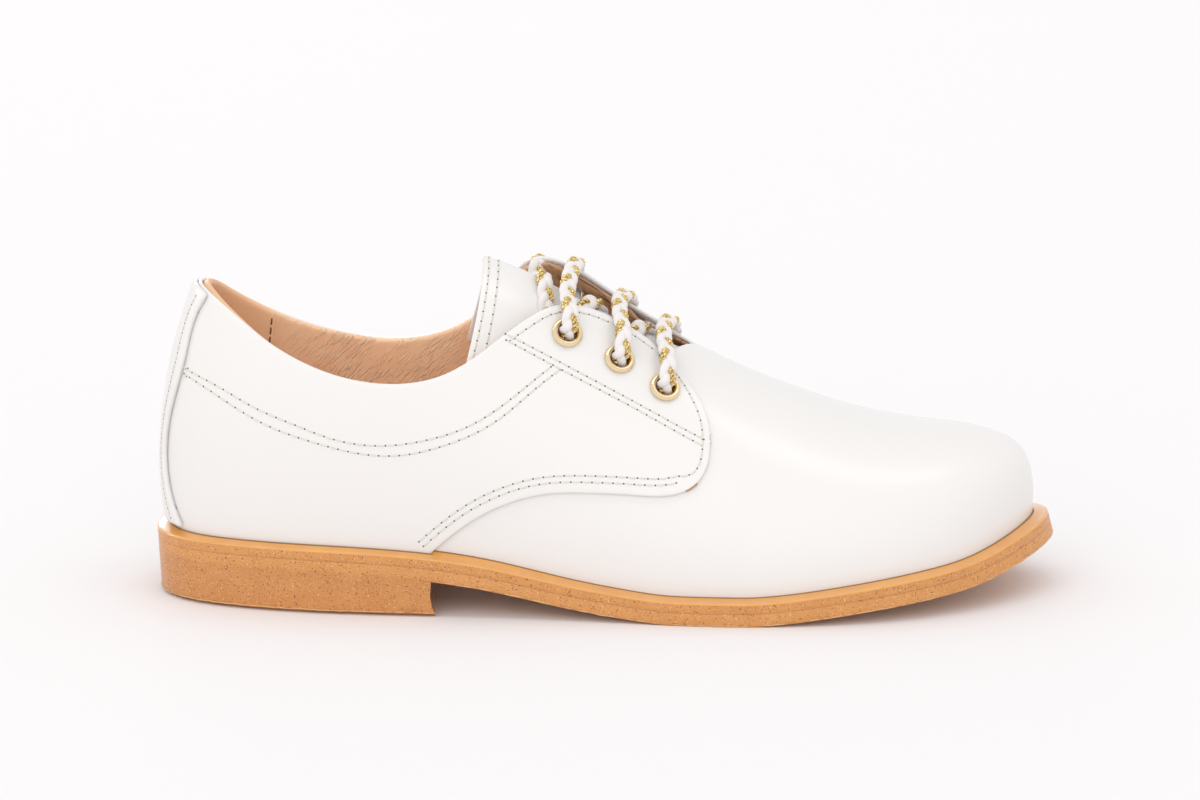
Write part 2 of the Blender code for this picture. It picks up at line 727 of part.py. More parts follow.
def make_eyelet(name, centre, axis):
    """A rolled metal ring with a barrel through the facing."""
    profile = (
        (EYELET_HOLE_R, -(WALL + QUARTER_STEP)),
        (EYELET_BARREL_R, -(WALL + QUARTER_STEP)),
        (EYELET_BARREL_R, GAP),
        (EYELET_FLANGE_R, GAP),
        (EYELET_FLANGE_R, GAP + EYELET_ROLL),
        ((EYELET_FLANGE_R + EYELET_HOLE_R) / 2, GAP + EYELET_FLANGE),
        (EYELET_HOLE_R, GAP + EYELET_ROLL),
    )
    return turned(name, profile, centre, axis, EYELET_STEPS)


def facing_rim(along):
    """The outer rim of a facing where a rib meets it, and the way straight off that corner."""
    t = top_line_t(along)
    rim = facing_surface(along, t)
    up = rim - facing_surface(along, t - RIM_STEP_T)
    off = up / np.linalg.norm(up) + facing_normal(along, t)
    return rim, off / np.linalg.norm(off)


def lace_end(row, side):
    """One end of a bar: from inside its eyelet, out, round, and over the edge of its facing."""
    along, t = locate(row, side)
    centre, axis = facing_surface(along, t), facing_normal(along, t)
    rim, off = facing_rim(along)
    ahead = rim - centre
    ahead -= axis * ahead.dot(axis)
    ahead /= np.linalg.norm(ahead)
    top = GAP + EYELET_FLANGE
    bend = math.sqrt(0.5)
    return [
        centre - axis * LACE_TUCK,
        centre + axis * top / 2,
        centre + axis * (top + LACE_TURN * bend) + ahead * LACE_TURN * (1 - bend),
        centre + axis * (top + LACE_TURN) + ahead * LACE_TURN,
        rim + off * (LACE_THICK / 2 + LACE_CLEAR),
    ]


def lace_route(row):
    """The middle line of one bar of the lace, from its lateral eyelet to its medial one."""
    return smooth_line(lace_end(row, "lateral") + lace_end(row, "medial")[::-1], LACE_STEPS)


def make_lace_bar(name, row):
    """One bar of the flat lace: an oval carried along its route, wide along the instep."""
    route = lace_route(row)
    ahead = np.gradient(route, axis=0)
    ahead /= np.linalg.norm(ahead, axis=1, keepdims=True)
    instep = np.array([1, *CREST_CURVE.slope(row["lateral_x"])])
    wide = instep - ahead * (ahead @ instep)[:, None]
    wide /= np.linalg.norm(wide, axis=1, keepdims=True)
    thick = np.cross(ahead, wide)
    angle = np.linspace(0, 2 * math.pi, LACE_SIDES, endpoint=False)[:, None]
    across = wide[:, None] * np.cos(angle) * LACE_WIDE + thick[:, None] * np.sin(angle) * LACE_THICK
    count = LACE_STEPS * LACE_SIDES
    ends = [tuple(range(LACE_SIDES)), tuple(range(count - LACE_SIDES, count))]
    return new_object(name, route[:, None] + across / 2, band_faces(LACE_STEPS, LACE_SIDES) + ends)


def paint(obj, name, colour, roughness, metallic=0.0):
    material = bpy.data.materials.get(name) or bpy.data.materials.new(name)
    material.use_nodes = True
    shader = material.node_tree.nodes["Principled BSDF"]
    shader.inputs["Base Color"].default_value = (*colour, 1.0)
    shader.inputs["Roughness"].default_value = roughness
    shader.inputs["Metallic"].default_value = metallic
    obj.data.materials.append(material)


def main():
    for obj in list(bpy.data.objects):
        bpy.data.objects.remove(obj)
    for leather in (make_upper(), make_back_strip(), make_tongue()):
        paint(leather, "white_patent", WHITE_LEATHER, 0.15)
    paint(make_insole(), "tan_lining", TAN_LINING, 0.6)
    paint(make_welt(), "tan_welt", TAN_WELT, 0.4)
    for rubber in (make_outsole(), make_heel()):
        paint(rubber, "tan_sole", TAN_SOLE, 0.6)
    for name, centre, axis in eyelet_places():
        paint(make_eyelet(name, centre, axis), "gold_metal", GOLD, 0.25, 1.0)
    for number, row in enumerate(named(EYELET_COLUMNS, EYELETS), 1):
        paint(make_lace_bar(f"lace_bar_{number}", row), "lace_cord", LACE_WHITE, 0.8)


main()
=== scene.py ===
"""Looks of the child's derby shoe: leather, lining, stitching, eyelets, laces and sole over its frame.

The shoe's sizes are in millimetres and are scaled to metres as a mesh is made. X runs from the heel to
the toe, Y from the lateral side to the medial side, and Z up from the floor. The forms are worked out
from the same last as the solids, more finely.
"""

import functools
import math

import bmesh
import bpy
import numpy as np
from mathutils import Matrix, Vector

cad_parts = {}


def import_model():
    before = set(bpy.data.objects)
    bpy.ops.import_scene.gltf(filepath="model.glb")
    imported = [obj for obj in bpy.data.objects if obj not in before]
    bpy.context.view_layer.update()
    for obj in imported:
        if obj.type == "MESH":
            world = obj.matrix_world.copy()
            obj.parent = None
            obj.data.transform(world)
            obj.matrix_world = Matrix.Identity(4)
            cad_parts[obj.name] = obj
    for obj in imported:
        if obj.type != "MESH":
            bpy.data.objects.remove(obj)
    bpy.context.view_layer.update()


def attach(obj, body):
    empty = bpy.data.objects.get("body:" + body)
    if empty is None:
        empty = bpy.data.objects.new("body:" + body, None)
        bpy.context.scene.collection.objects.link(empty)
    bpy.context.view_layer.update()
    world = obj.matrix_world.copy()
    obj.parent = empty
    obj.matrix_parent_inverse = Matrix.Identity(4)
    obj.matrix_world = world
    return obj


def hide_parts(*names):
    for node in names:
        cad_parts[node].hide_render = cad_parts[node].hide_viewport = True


# Units, small distances, and the place of the origin
MM = 0.001
GAP = 0.3
SEAM = 0.1
MERGE = 0.001
TINY = 1e-9
ORIGIN = (0.15, 0.2, 0.0)
SIDES = ("lateral", "medial")
SHARP_ANGLE = 50.0
EDGE_TURNS = 5

# Leather and sole thicknesses
WALL = 1.8
VAMP_LEATHER = 0.8
QUARTER_STEP = 1.1
QUARTER_BACK = 0.1
STRIP = 1.0
TONGUE = 2.2
TONGUE_SHARE = 0.6
TONGUE_LINING_INSET = 1.2
INSOLE = 2.4
INSOLE_CLEAR = 0.8
SOCK_ROUND = 0.6
WELT_EDGE = 2.6
OUTSOLE_EDGE = 3.3
LIP_HEIGHT = OUTSOLE_EDGE + WELT_EDGE
STRIP_FACE = QUARTER_STEP + GAP + STRIP

# Eyelets, with the radius and height of their profile, and the lace with its strands
EYELET_FLANGE = 0.9
EYELET_HOLE, HOLE_SNAP = 2.85, 6.0
EYELET_PROFILE = (
    (2.3, -2.9),
    (2.75, -2.9),
    (2.75, 0.1),
    (3.5, 0.1),
    (3.75, 0.3),
    (3.8, 0.6),
    (3.68, 0.9),
    (3.4, 1.13),
    (3.05, 1.2),
    (2.7, 1.12),
    (2.45, 0.9),
    (2.32, 0.55),
)
LACE_THICK = 1.9
LACE_TUCK = 4.2
LACE_TURN = 2.2
LACE_CLEAR = 0.4
LACE_LIFT = LACE_THICK / 2 + LACE_CLEAR
LACE_BEHIND = 4.0
RIM_STEP_T = 0.05
CORD_STEP = 0.2
PLAIT_PITCH = 12.0
PLAIT_OUT, PLAIT_RISE, PLAIT_RISES = 1.0, 0.4, 2
WHITE_PHASES = (0.0, 2 * math.pi / 3)
WHITE_WIDE, WHITE_THICK, WHITE_SIDES = 1.2, 0.8, 12
GOLD_PHASE = 4 * math.pi / 3
GOLD_PROUD = 0.22
GOLD_THREADS = 3
GOLD_TWIST = 2.5
GOLD_THREAD_OUT, GOLD_THREAD_R, GOLD_SIDES = 0.48, 0.42, 6

# The runs of lace under the bars, and the run over the far facing
UNDER_SHARES = (0.25, 0.42, 0.58, 0.75)
NEAR_POINTS = 4
END_RIM_X, END_RIM_Z = -17.0, 73.0
END_SHARES = (0.3, 0.5, 0.7, 0.85)
END_BACK = 4.0
END_SINK = 2.3

# How finely the forms are divided
QUARTER_RIBS, QUARTER_ROWS = 150, 44
VAMP_RIBS, VAMP_ROWS = 130, 60
LINING_RIBS, LINING_ROWS = 130, 50
SEAM_RIBS = (-0.4, -0.2, 0.0, 0.2, 0.4)
STRIP_ROWS, STRIP_ACROSS = 48, 21
TONGUE_STEPS, TONGUE_ACROSS = 44, 41
SOLE_STEPS = 150
CAP_ACROSS = 13
HEEL_STEPS, HEEL_ACROSS = 160, 25
EYELET_STEPS = 40
EDGE_STEPS = 72
BORDER_STEPS, BORDER_THIN = 700, 2
ROW_STEPS = 400
PATH_STEPS = 600

# How places on the last are searched for: along a line, or on a grid that is narrowed round by round
SEARCH_STEPS = 400
LOCATE_GRID, LOCATE_ROUNDS, LOCATE_ZOOM = 25, 7, 0.12
LOCATE_LOW_T, LOCATE_HIGH_T = 0.05, 0.97
SLOPE_ALONG, SLOPE_T = 0.2, 0.02
RIB_LENGTH = 80.0
NOSE_CUT = 0.02
FOOT_T = -0.012
RIM_DROP_T = 0.015

# The stitches: their pitch, their thread, the holes at their ends with their painted shade, and where their
# rows run
STITCH_PITCH = 2.5
STITCH_R, STITCH_SIDES = 0.2, 6
STITCH_ARC = ((0.14, -0.15), (0.26, 0.03), (0.5, 0.1), (0.74, 0.03), (0.86, -0.15))
HOLE_R, HOLE_SIDES, HOLE_LIFT, HOLE_DEPTH, HOLE_TAPER = 0.24, 8, 0.03, 0.25, 0.6
FRONT_INSET, LOW_INSET, ROW_GAP = 1.7, 2.2, 1.57
CORNER_START, CORNER_LENGTH = 1.0, 7.0
EDGE_ROW_START = (-24.2, 68.4)
STRIP_ROW_SHARE, STRIP_ROW_SPAN = 0.8, (0.02, 0.97)
NORMAL_STEP = 1.0
TONGUE_STITCH_INSETS = (0.7, 3.2)

# One row for each section of the last, from the back of the heel to the tip of the toe: the edge of
# the sole on both sides, how far in the upper stands on it, how the wall bulges and rises from there,
# how full the crown is, and the place on the crest that the section's rib runs to.
SECTION_COLUMNS = ("x", "lateral_y", "medial_y", "ledge", "wall_out", "wall_rise", "crown", "crest_x")
SECTIONS = (
    (-110.9, 1.0, 1.0, 4.3, 6.0, 0.40, 0.50, -79.5),
    (-108.9, -7.5, 9.3, 4.1, 6.0, 0.40, 0.51, -79.1),
    (-103.6, -13.9, 15.2, 3.7, 6.0, 0.40, 0.54, -77.9),
    (-94.0, -19.2, 19.8, 3.4, 5.6, 0.41, 0.57, -74.8),
    (-80.0, -23.6, 23.2, 3.3, 5.2, 0.42, 0.60, -68.2),
    (-62.0, -26.6, 24.8, 3.3, 5.0, 0.44, 0.60, -57.0),
    (-40.0, -28.6, 24.6, 3.3, 5.0, 0.46, 0.58, -38.5),
    (-18.0, -30.6, 25.0, 3.2, 4.8, 0.48, 0.55, -18.0),
    (4.0, -33.6, 28.6, 3.2, 4.2, 0.49, 0.54, 3.0),
    (24.0, -36.3, 33.4, 3.2, 3.4, 0.50, 0.54, 22.0),
    (42.0, -36.8, 36.8, 3.2, 2.7, 0.52, 0.56, 39.0),
    (58.0, -35.2, 37.2, 3.2, 2.0, 0.55, 0.61, 53.0),
    (73.0, -31.4, 35.4, 3.2, 1.5, 0.59, 0.68, 64.5),
    (87.0, -25.0, 31.4, 3.2, 1.1, 0.66, 0.79, 72.5),
    (98.0, -17.2, 26.2, 3.2, 0.8, 0.71, 0.86, 76.6),
    (107.0, -7.0, 18.0, 3.2, 0.6, 0.73, 0.89, 78.2),
    (111.6, 5.4, 5.4, 3.2, 0.5, 0.74, 0.90, 78.6),
)

# The crest of the last: the vamp and the instep, and behind them the cone over the ankle
CREST_COLUMNS = ("x", "y", "z")
CREST = (
    (-112.0, 1.5, 101.0),
    (-84.0, 1.5, 101.0),
    (-60.0, 2.2, 99.5),
    (-42.0, 3.0, 94.0),
    (-27.0, 3.5, 87.0),
    (-8.0, 4.0, 76.4),
    (8.0, 4.2, 67.6),
    (23.0, 4.4, 60.2),
    (36.0, 4.7, 53.9),
    (48.0, 5.0, 49.0),
    (58.0, 5.3, 45.4),
    (67.0, 5.5, 42.9),
    (78.0, 5.6, 40.9),
    (93.0, 5.6, 40.0),
    (112.0, 5.6, 40.4),
)

# The sole along its length: its underside, and how far its top slopes up from the lip to the upper
SOLE_COLUMNS = ("x", "underside_z", "slope_rise")
SOLE = (
    (-112.0, 10.4, 2.0),
    (-80.0, 10.4, 2.0),
    (-60.0, 10.0, 2.0),
    (-42.0, 8.8, 1.9),
    (-29.0, 7.0, 1.7),
    (-11.0, 3.4, 1.3),
    (4.0, 1.1, 1.0),
    (14.0, 0.1, 0.9),
    (22.0, 0.0, 0.9),
    (34.0, 0.0, 0.9),
    (44.0, 0.7, 0.9),
    (56.0, 2.1, 0.9),
    (68.0, 3.5, 1.0),
    (80.0, 4.9, 1.1),
    (90.0, 6.4, 1.2),
    (98.0, 8.5, 1.3),
    (104.0, 10.4, 1.4),
    (112.0, 13.0, 1.5),
)

# The top line on both sides, from beside the heel along the collar, over the facings and down the throat
HEEL_TOP_Z = 77.4
THROAT_X = 21.4
PLACE_COLUMNS = ("lateral_x", "lateral_z", "medial_x", "medial_z")
TOP_LINE = (
    (-96.3, 75.8, -96.3, 75.0),
    (-90.4, 71.9, -90.4, 70.6),
    (-82.9, 66.6, -83.0, 66.2),
    (-73.7, 61.6, -73.0, 61.8),
    (-64.0, 58.2, -62.0, 58.9),
    (-49.5, 56.7, -49.5, 58.2),
    (-39.9, 58.5, -41.0, 60.0),
    (-32.2, 62.4, -33.2, 64.0),
    (-25.0, 67.4, -27.2, 70.0),
    (-18.5, 71.4, -22.0, 76.4),
    (-11.5, 73.6, -15.6, 79.8),
    (-4.5, 72.6, -7.6, 77.0),
    (3.4, 69.0, 0.0, 72.2),
    (9.0, 65.6, 8.0, 67.2),
    (14.0, 62.8, 14.0, 64.2),
)

# How far each facing stands off the instep at its edge, and where it starts to
FACING_LIFT = {"lateral": 1.0, "medial": 8.0}
LIFT_FROM_T, LIFT_FULL_T = 0.42, 0.72
LIFT_FRONT_X, LIFT_PEAK_X, LIFT_BACK_X = 24.0, -10.0, -46.0

# The three pairs of eyelets on the facings
EYELETS = (
    (-9.4, 67.8, -8.0, 70.4),
    (3.2, 61.4, 4.6, 63.6),
    (14.2, 54.8, 15.6, 56.4),
)

# How far the lining ends under the top line, by the distance along the last from the heel
LINING_DROP_T = {
    "lateral": ((14.0, 0.0), (34.0, 0.008), (88.0, 0.008), (98.0, 0.016)),
    "medial": ((88.0, 0.0), (98.0, 0.014)),
}

# Where up the wall the lining comes to fill the room behind the quarters, back of the vamp's tuck
LINING_FILL, LINING_FILL_X = (0.86, 0.95), 6.0

# The heel's piece of the lining: where its front edge is along the last, how far it stands over the
# rest, and its row of stitches
LINING_SEAM = 37.6
LINING_LAP = 0.35
LINING_STITCH_INSET = 1.2
LINING_STITCH_T = (0.15, 0.985)

# The back strip's half width from the sole to the top line, and what it leaves free at both ends
STRIP_COLUMNS = ("z", "half_width")
BACK_STRIP = (
    (10.0, 18.5),
    (17.0, 15.0),
    (24.0, 11.4),
    (34.0, 8.3),
    (42.0, 8.4),
    (52.0, 11.0),
    (62.0, 12.6),
    (72.0, 13.0),
    (77.0, 15.4),
    (84.0, 19.0),
)
STRIP_FOOT = 0.5
STRIP_TOP_T = 0.005

# The tongue from its free end to where it meets the vamp: its place on the crest, how far its sides lie
# behind its middle, how far down the wall they hang, and how far its middle and its sides, which make
# room for the lace, lie under the upper
TONGUE_COLUMNS = ("crest_x", "fall_back", "hang", "crest_sink", "side_sink")
TONGUE_ROWS = (
    (-27.2, 6.4, 0.56, 2.9, 2.2),
    (-18.0, 5.0, 0.54, 1.5, 2.6),
    (-10.0, 3.5, 0.50, 1.2, 3.6),
    (4.0, 1.5, 0.42, 1.0, 3.6),
    (14.0, 0.5, 0.34, 0.8, 2.4),
    (20.0, 0.0, 0.28, 0.6, 0.6),
    (26.0, 0.0, 0.24, 0.6, 0.6),
)
TONGUE_CREST = 0.1

# The free edge of a quarter: along the collar, over the facing and round its front, and then back to the
# sole, where x and z are the same on both sides
QUARTER_FOOT = (
    (25.0, 42.4),
    (24.1, 37.8),
    (22.3, 35.0),
    (19.4, 32.9),
    (15.6, 31.8),
    (8.0, 31.6),
    (-4.5, 32.0),
    (-14.6, 31.5),
    (-24.2, 28.8),
    (-33.8, 23.4),
    (-42.6, 15.8),
)
QUARTER_LINE = (
    *TOP_LINE[:-1],
    (14.0, 61.8, 14.0, 64.2),
    (18.4, 57.6, 19.6, 60.2),
    (21.8, 53.2, 23.0, 54.6),
    (24.3, 48.2, 25.0, 48.6),
    *((x, z, x, z) for x, z in QUARTER_FOOT),
)

# How far up the vamp runs under the quarters, by its place on the crest
VAMP_BACK_X = -52.0
VAMP_TUCK = ((-60.0, 0.4), (4.0, 0.6), (14.0, 1.0))

# Rows of stitches on the quarters: x and z, seen from the side
COLLAR_ROW_HIGH = (
    (-101.6, 57.8),
    (-94.4, 54.9),
    (-84.9, 50.4),
    (-75.1, 46.8),
    (-65.2, 43.5),
    (-54.6, 42.3),
    (-44.7, 43.5),
    (-32.6, 47.4),
    (-21.8, 54.3),
    (-13.2, 60.6),
)
COLLAR_ROW_LOW = (
    (-102.0, 55.8),
    (-97.0, 54.0),
    (-90.1, 50.3),
    (-80.8, 45.9),
    (-70.8, 42.8),
    (-60.7, 40.5),
    (-50.1, 40.0),
    (-39.7, 42.3),
    (-28.0, 47.4),
    (-17.9, 55.0),
    (-11.0, 59.9),
)
EYESTAY_ROW_HIGH = ((-24.2, 68.3), (-10.9, 61.5), (0.2, 55.7), (11.1, 50.0), (23.6, 43.6))
EYESTAY_ROW_LOW = ((-24.0, 66.9), (-10.9, 60.0), (0.2, 54.3), (11.1, 48.6), (23.2, 42.3))

# The heel block
HEEL_BREAST_X = -41.5
HEEL_BREAST_HOLLOW = 1.2
HEEL_BREAST_REACH = 8.0
HEEL_COLUMNS = ("inset", "height_share", "breast")
HEEL_PROFILE = (
    (2.4, 0.0, 0.0),
    (1.7, 0.045, 0.0),
    (0.75, 0.1, 0.05),
    (0.6, 0.14, 0.1),
    (0.55, 0.3, 0.7),
    (0.4, 0.6, 1.1),
    (0.25, 0.9, 0.9),
    (0.19, 1.0, 0.8),
    (0.19, 1.035, 0.8),
)

# The edges of the sole's layers, from below
PROFILE_COLUMNS = ("inset", "height")
OUTSOLE_PROFILE = (
    (0.6, 0.0),
    (0.32, 0.07),
    (0.2, 0.25),
    (0.16, 1.0),
    (0.1, 3.12),
    (0.14, 3.22),
)
WELT_EDGE_PROFILE = (
    (0.14, 3.26),
    (0.07, 3.36),
    (0.0, 4.2),
    (0.0, 5.3),
    (0.2, 5.4),
)
WELT_LIP_PROFILE = (
    (0.2, 5.3),
    (0.0, 5.35),
    (0.0, 5.6),
    (0.06, 5.76),
    (0.25, 5.88),
    (0.6, 5.96),
)
WELT_LIP = 0.7
WELT_UNDER = 1.0
WELT_SLOPE = ((0.12, 0.05), (0.4, 0.3), (0.7, 0.62), (0.88, 0.88), (1.0, 1.02))

# Cut edges and painted lines: cords along the back strip and the quarters' corners, a dark cord of painted
# shade where the upper meets the welt, and pale frayed cords with a painted highlight along the outsole
EDGE_SIDES, STEEP = 6, 0.9
RAW_EDGE_SPAN, RAW_EDGE_OUT, RAW_EDGE_R = (0.0, 0.985), 1.03, 0.26
CORNER_DROP_T, CORNER_R, CORNER_RIBS, CORNER_STEPS = 0.002, 0.5, (-6.4, -3.6), 6
SHADE_TURN_X = -42.6
WELT_SHADE_R = 0.2
FRAY_HIGHLIGHT_INSET, FRAY_HIGHLIGHT_HEIGHT, FRAY_HIGHLIGHT_R, FRAY_SPREAD, FRAY_SEED = 0.3, 0.32, 0.13, 0.07, 1
HEEL_FRAY_HIGHLIGHT_INSET, HEEL_FRAY_HIGHLIGHT_Z = 0.72, 1.1

# Where the lining's look changes: darker with painted shade towards the heel and in the facings, and
# along the collar, whose creases carry a painted highlight, and how the streaks and creases there lean
LINING_HEEL_X = (-78.0, -98.0)
LINING_FACING_X, LINING_FACING_Z = (-24.0, -14.0), (54.0, 60.0)
LINING_COLLAR_BACK_X, LINING_COLLAR_FRONT_X = (-86.0, -68.0), (-26.0, -46.0)
STREAK_LEAN, CREASE_LEAN = -32.0, 48.0

# The camera: the photograph's own view, of a frame 1200 by 800 pixels
CAMERA_PLACE = (-1.56, -1069.8, 304.3)
CAMERA_PITCH = 13.5
SENSOR, LENS = 36.0, 134.18

# The floor's half width, and the light, in metres: what it aims at, the strength of the light from all
# round at two heights, a wide sun, and lights with sharp sides, of which some show in the gloss alone
FLOOR_HALF = 6.0
LIGHT_AIM = (0.0, 0.0, 0.03)
WORLD_HEIGHTS = (-0.1, 0.8)
WORLD_STRENGTHS = (1.0, 0.92)
SUN_PLACE, SUN_SPREAD, SUN_STRENGTH = (-0.25, -1.0, 0.42), 70.0, 0.88
SOFTBOX_COLUMNS = ("name", "place", "size", "power", "lights")
SOFTBOXES = (
    ("softbox_top", (0.0, -1.5, 9.0), (11.0, 1.4), 115.0, True),
    ("gloss_left", (-6.0, 2.0, 2.5), (1.5, 2.0), 60.0, False),
    ("gloss_back", (-0.9, 6.0, 1.35), (1.6, 0.9), 45.0, False),
)


class Curve:
    """A cubic curve with continuous curvature through rows of values, open or closed."""

    def __init__(self, knots, values, closed=False):
        self.knots = np.asarray(knots, float)
        self.values = np.asarray(values, float)
        self.closed = closed
        self.bends = self._bends()

    def _bends(self):
        """The second derivative at each knot: none at open ends, the same at both ends if closed."""
        step = np.diff(self.knots)
        rise = np.diff(self.values, axis=0) / step[:, None]
        count = len(self.knots)
        system = np.eye(count)
        right = np.zeros_like(self.values)
        for i in range(1, count - 1):
            system[i, i - 1 : i + 2] = step[i - 1], 2 * (step[i - 1] + step[i]), step[i]
            right[i] = 6 * (rise[i] - rise[i - 1])
        if self.closed:
            system[0, 0], system[0, 1] = 2 * (step[-1] + step[0]), step[0]
            system[0, count - 2] = step[-1]
            right[0] = 6 * (rise[0] - rise[-1])
            system[-1, 0] = -1
        return np.linalg.solve(system, right)

    def _place(self, at):
        at = np.asarray(at, float)
        if self.closed:
            at = self.knots[0] + (at - self.knots[0]) % (self.knots[-1] - self.knots[0])
        else:
            at = np.clip(at, self.knots[0], self.knots[-1])
        i = np.clip(np.searchsorted(self.knots, at, "right") - 1, 0, len(self.knots) - 2)
        step = self.knots[i + 1] - self.knots[i]
        return i, step[..., None], ((self.knots[i + 1] - at) / step)[..., None]

    def __call__(self, at):
        i, step, a = self._place(at)
        b = 1 - a
        bend = (a**3 - a) * self.bends[i] + (b**3 - b) * self.bends[i + 1]
        return a * self.values[i] + b * self.values[i + 1] + bend * step**2 / 6

    def slope(self, at):
        i, step, a = self._place(at)
        b = 1 - a
        bend = (3 * b**2 - 1) * self.bends[i + 1] - (3 * a**2 - 1) * self.bends[i]
        return (self.values[i + 1] - self.values[i]) / step + bend * step / 6


def named(columns, rows):
    """The rows of a table, with each value under its column's name."""
    return [dict(zip(columns, row)) for row in rows]


def curve_of(columns, rows, *names):
    """A curve of the named columns over the table's first column."""
    values = np.array(rows, float)
    return Curve(values[:, 0], values[:, [columns.index(name) for name in names]])


def lengths_along(points):
    """How far along the line through the points each of them is."""
    return np.concatenate([[0], np.cumsum(np.linalg.norm(np.diff(points, axis=0), axis=1))])


def at_lengths(line, lengths, marks):
    """The places on a line that are at the marks along it."""
    return np.stack([np.interp(marks, lengths, column) for column in line.T], -1)


def smooth_line(points, count):
    """Evenly spread points on the smooth curve through the points given."""
    points = np.asarray(points, float)
    knots = lengths_along(points)
    return Curve(knots, points)(np.linspace(0, knots[-1], count))


def smooth_step(value):
    value = np.clip(value, 0, 1)
    return value * value * (3 - 2 * value)


def unit(vectors):
    return vectors / np.maximum(np.linalg.norm(vectors, axis=-1, keepdims=True), TINY)


def perimeter_curve():
    """The closed edge of the sole with the rib columns along it, and the parameter of the toe's tip."""
    rows = np.array(SECTIONS, float)
    lateral = np.delete(rows, SECTION_COLUMNS.index("medial_y"), axis=1)
    medial = np.delete(rows, SECTION_COLUMNS.index("lateral_y"), axis=1)
    chords = [np.linalg.norm(np.diff(side[:, :2], axis=0), axis=1) for side in (lateral, medial)]
    along = np.concatenate([[0], np.cumsum(np.mean(chords, axis=0))])
    knots = np.concatenate([along, 2 * along[-1] - along[-2::-1]])
    return Curve(knots, np.vstack([lateral, medial[-2::-1]]), closed=True), along[-1]


SIDE_COLUMNS = ("x", "y", *SECTION_COLUMNS[3:])
PERIMETER, TOE = perimeter_curve()
CREST_CURVE = curve_of(CREST_COLUMNS, CREST, "y", "z")
SOLE_CURVE = curve_of(SOLE_COLUMNS, SOLE, "underside_z", "slope_rise")


def rib(along, column):
    """A column of the sections' table, at parameters along the edge of the sole."""
    return PERIMETER(along)[..., SIDE_COLUMNS.index(column)]


def side_ribs(ribs, side):
    """The parameters of ribs that are counted from the heel on either side."""
    return ribs if side == "lateral" else 2 * TOE - ribs


def mirrored(ribs):
    """The parameters of ribs of the lateral side up to the toe, and on along the medial side."""
    return np.concatenate([ribs, 2 * TOE - ribs[-2::-1]])


def underside_z(x):
    return np.maximum(SOLE_CURVE(x)[..., 0], 0)


def feather_height(x):
    """The height over the underside of the line where the upper meets the sole."""
    return LIP_HEIGHT + SOLE_CURVE(x)[..., 1]


def on_sole(plan, height):
    """Points over places in plan, at a height square to the bent underside."""
    x, y = plan[..., 0], plan[..., 1]
    lean = np.arctan(SOLE_CURVE.slope(x)[..., 0])
    return np.stack([x - height * np.sin(lean), y, underside_z(x) + height * np.cos(lean)], -1)


def outline(along, inset):
    """Points on the edge of the sole, moved inwards by inset."""
    edge = PERIMETER(along)[..., :2]
    tangent = unit(PERIMETER.slope(along)[..., :2])
    inward = np.stack([-tangent[..., 1], tangent[..., 0]], -1)
    return edge + inward * np.asarray(inset)[..., None]


def crest_along(x):
    """The lateral parameter of the rib that runs to a place on the crest."""
    along = np.linspace(0, TOE, SEARCH_STEPS)
    return np.interp(x, rib(along, "crest_x"), along)


def last_surface(along, t):
    """Points on the last: ribs at the parameters along, each from the feather line up to the crest."""
    along, t = np.broadcast_arrays(np.asarray(along, float), np.asarray(t, float))
    ledge, wall_out, wall_rise, crown, crest_x = np.moveaxis(PERIMETER(along)[..., 2:], -1, 0)
    plan = outline(along, ledge)
    foot, low = np.split(on_sole(plan, feather_height(plan[..., 0])), [2], axis=-1)
    top = np.stack([crest_x, CREST_CURVE(crest_x)[..., 0]], -1)
    reach = np.linalg.norm(top - foot, axis=-1)
    s = 1 - t
    inward = -3 * s * s * t * wall_out + (3 * s * t * t * (1 - crown) + t**3) * reach
    rise = 3 * s * s * t * wall_rise + 3 * s * t * t + t**3
    place = foot + (top - foot) * (inward / reach)[..., None]
    z = low + (CREST_CURVE(place[..., 0])[..., 1:] - low) * rise[..., None]
    return np.concatenate([place, z], -1)


def slopes_of(surface, along, t):
    """How a surface of the two parameters runs along each of them."""
    ahead = surface(along + SLOPE_ALONG, t) - surface(along - SLOPE_ALONG, t)
    up = surface(along, t + SLOPE_T) - surface(along, t - SLOPE_T)
    return ahead / (2 * SLOPE_ALONG), up / (2 * SLOPE_T)


def normal_of(surface, along, t):
    """The outward normal of a surface of the two parameters."""
    ahead, up = slopes_of(surface, along, np.clip(t, SLOPE_T, 1 - SLOPE_T))
    return unit(np.cross(ahead, up))


def facing_lift(along, t):
    """How far a facing stands off the last: nothing away from the throat, most at the facing's edge."""
    x = last_surface(along, t)[..., 0]
    most = np.where(np.asarray(along) % (2 * TOE) < TOE, FACING_LIFT["lateral"], FACING_LIFT["medial"])
    middle = sum(FACING_LIFT.values()) / 2
    most = most + (middle - most) * smooth_step((t - LIFT_FULL_T) / (1 - LIFT_FULL_T))
    front = smooth_step((LIFT_FRONT_X - x) / (LIFT_FRONT_X - LIFT_PEAK_X))
    back = smooth_step((x - LIFT_BACK_X) / (LIFT_PEAK_X - LIFT_BACK_X))
    edge = smooth_step((t - LIFT_FROM_T) / (LIFT_FULL_T - LIFT_FROM_T))
    return most * front * back * edge


def last_points(along, t, offset, lifted=True):
    """Points at a distance outside the last, with the facings lifted off it or not."""
    along, t = np.broadcast_arrays(np.asarray(along, float), np.asarray(t, float))
    distance = offset + (facing_lift(along, t) if lifted else np.zeros_like(t))
    return last_surface(along, t) + normal_of(last_surface, along, t) * distance[..., None]


def facing_surface(along, t):
    return last_points(along, t, QUARTER_STEP)


def facing_normal(along, t):
    """The outward normal of a facing, lifted as it is."""
    return normal_of(facing_surface, along, t)


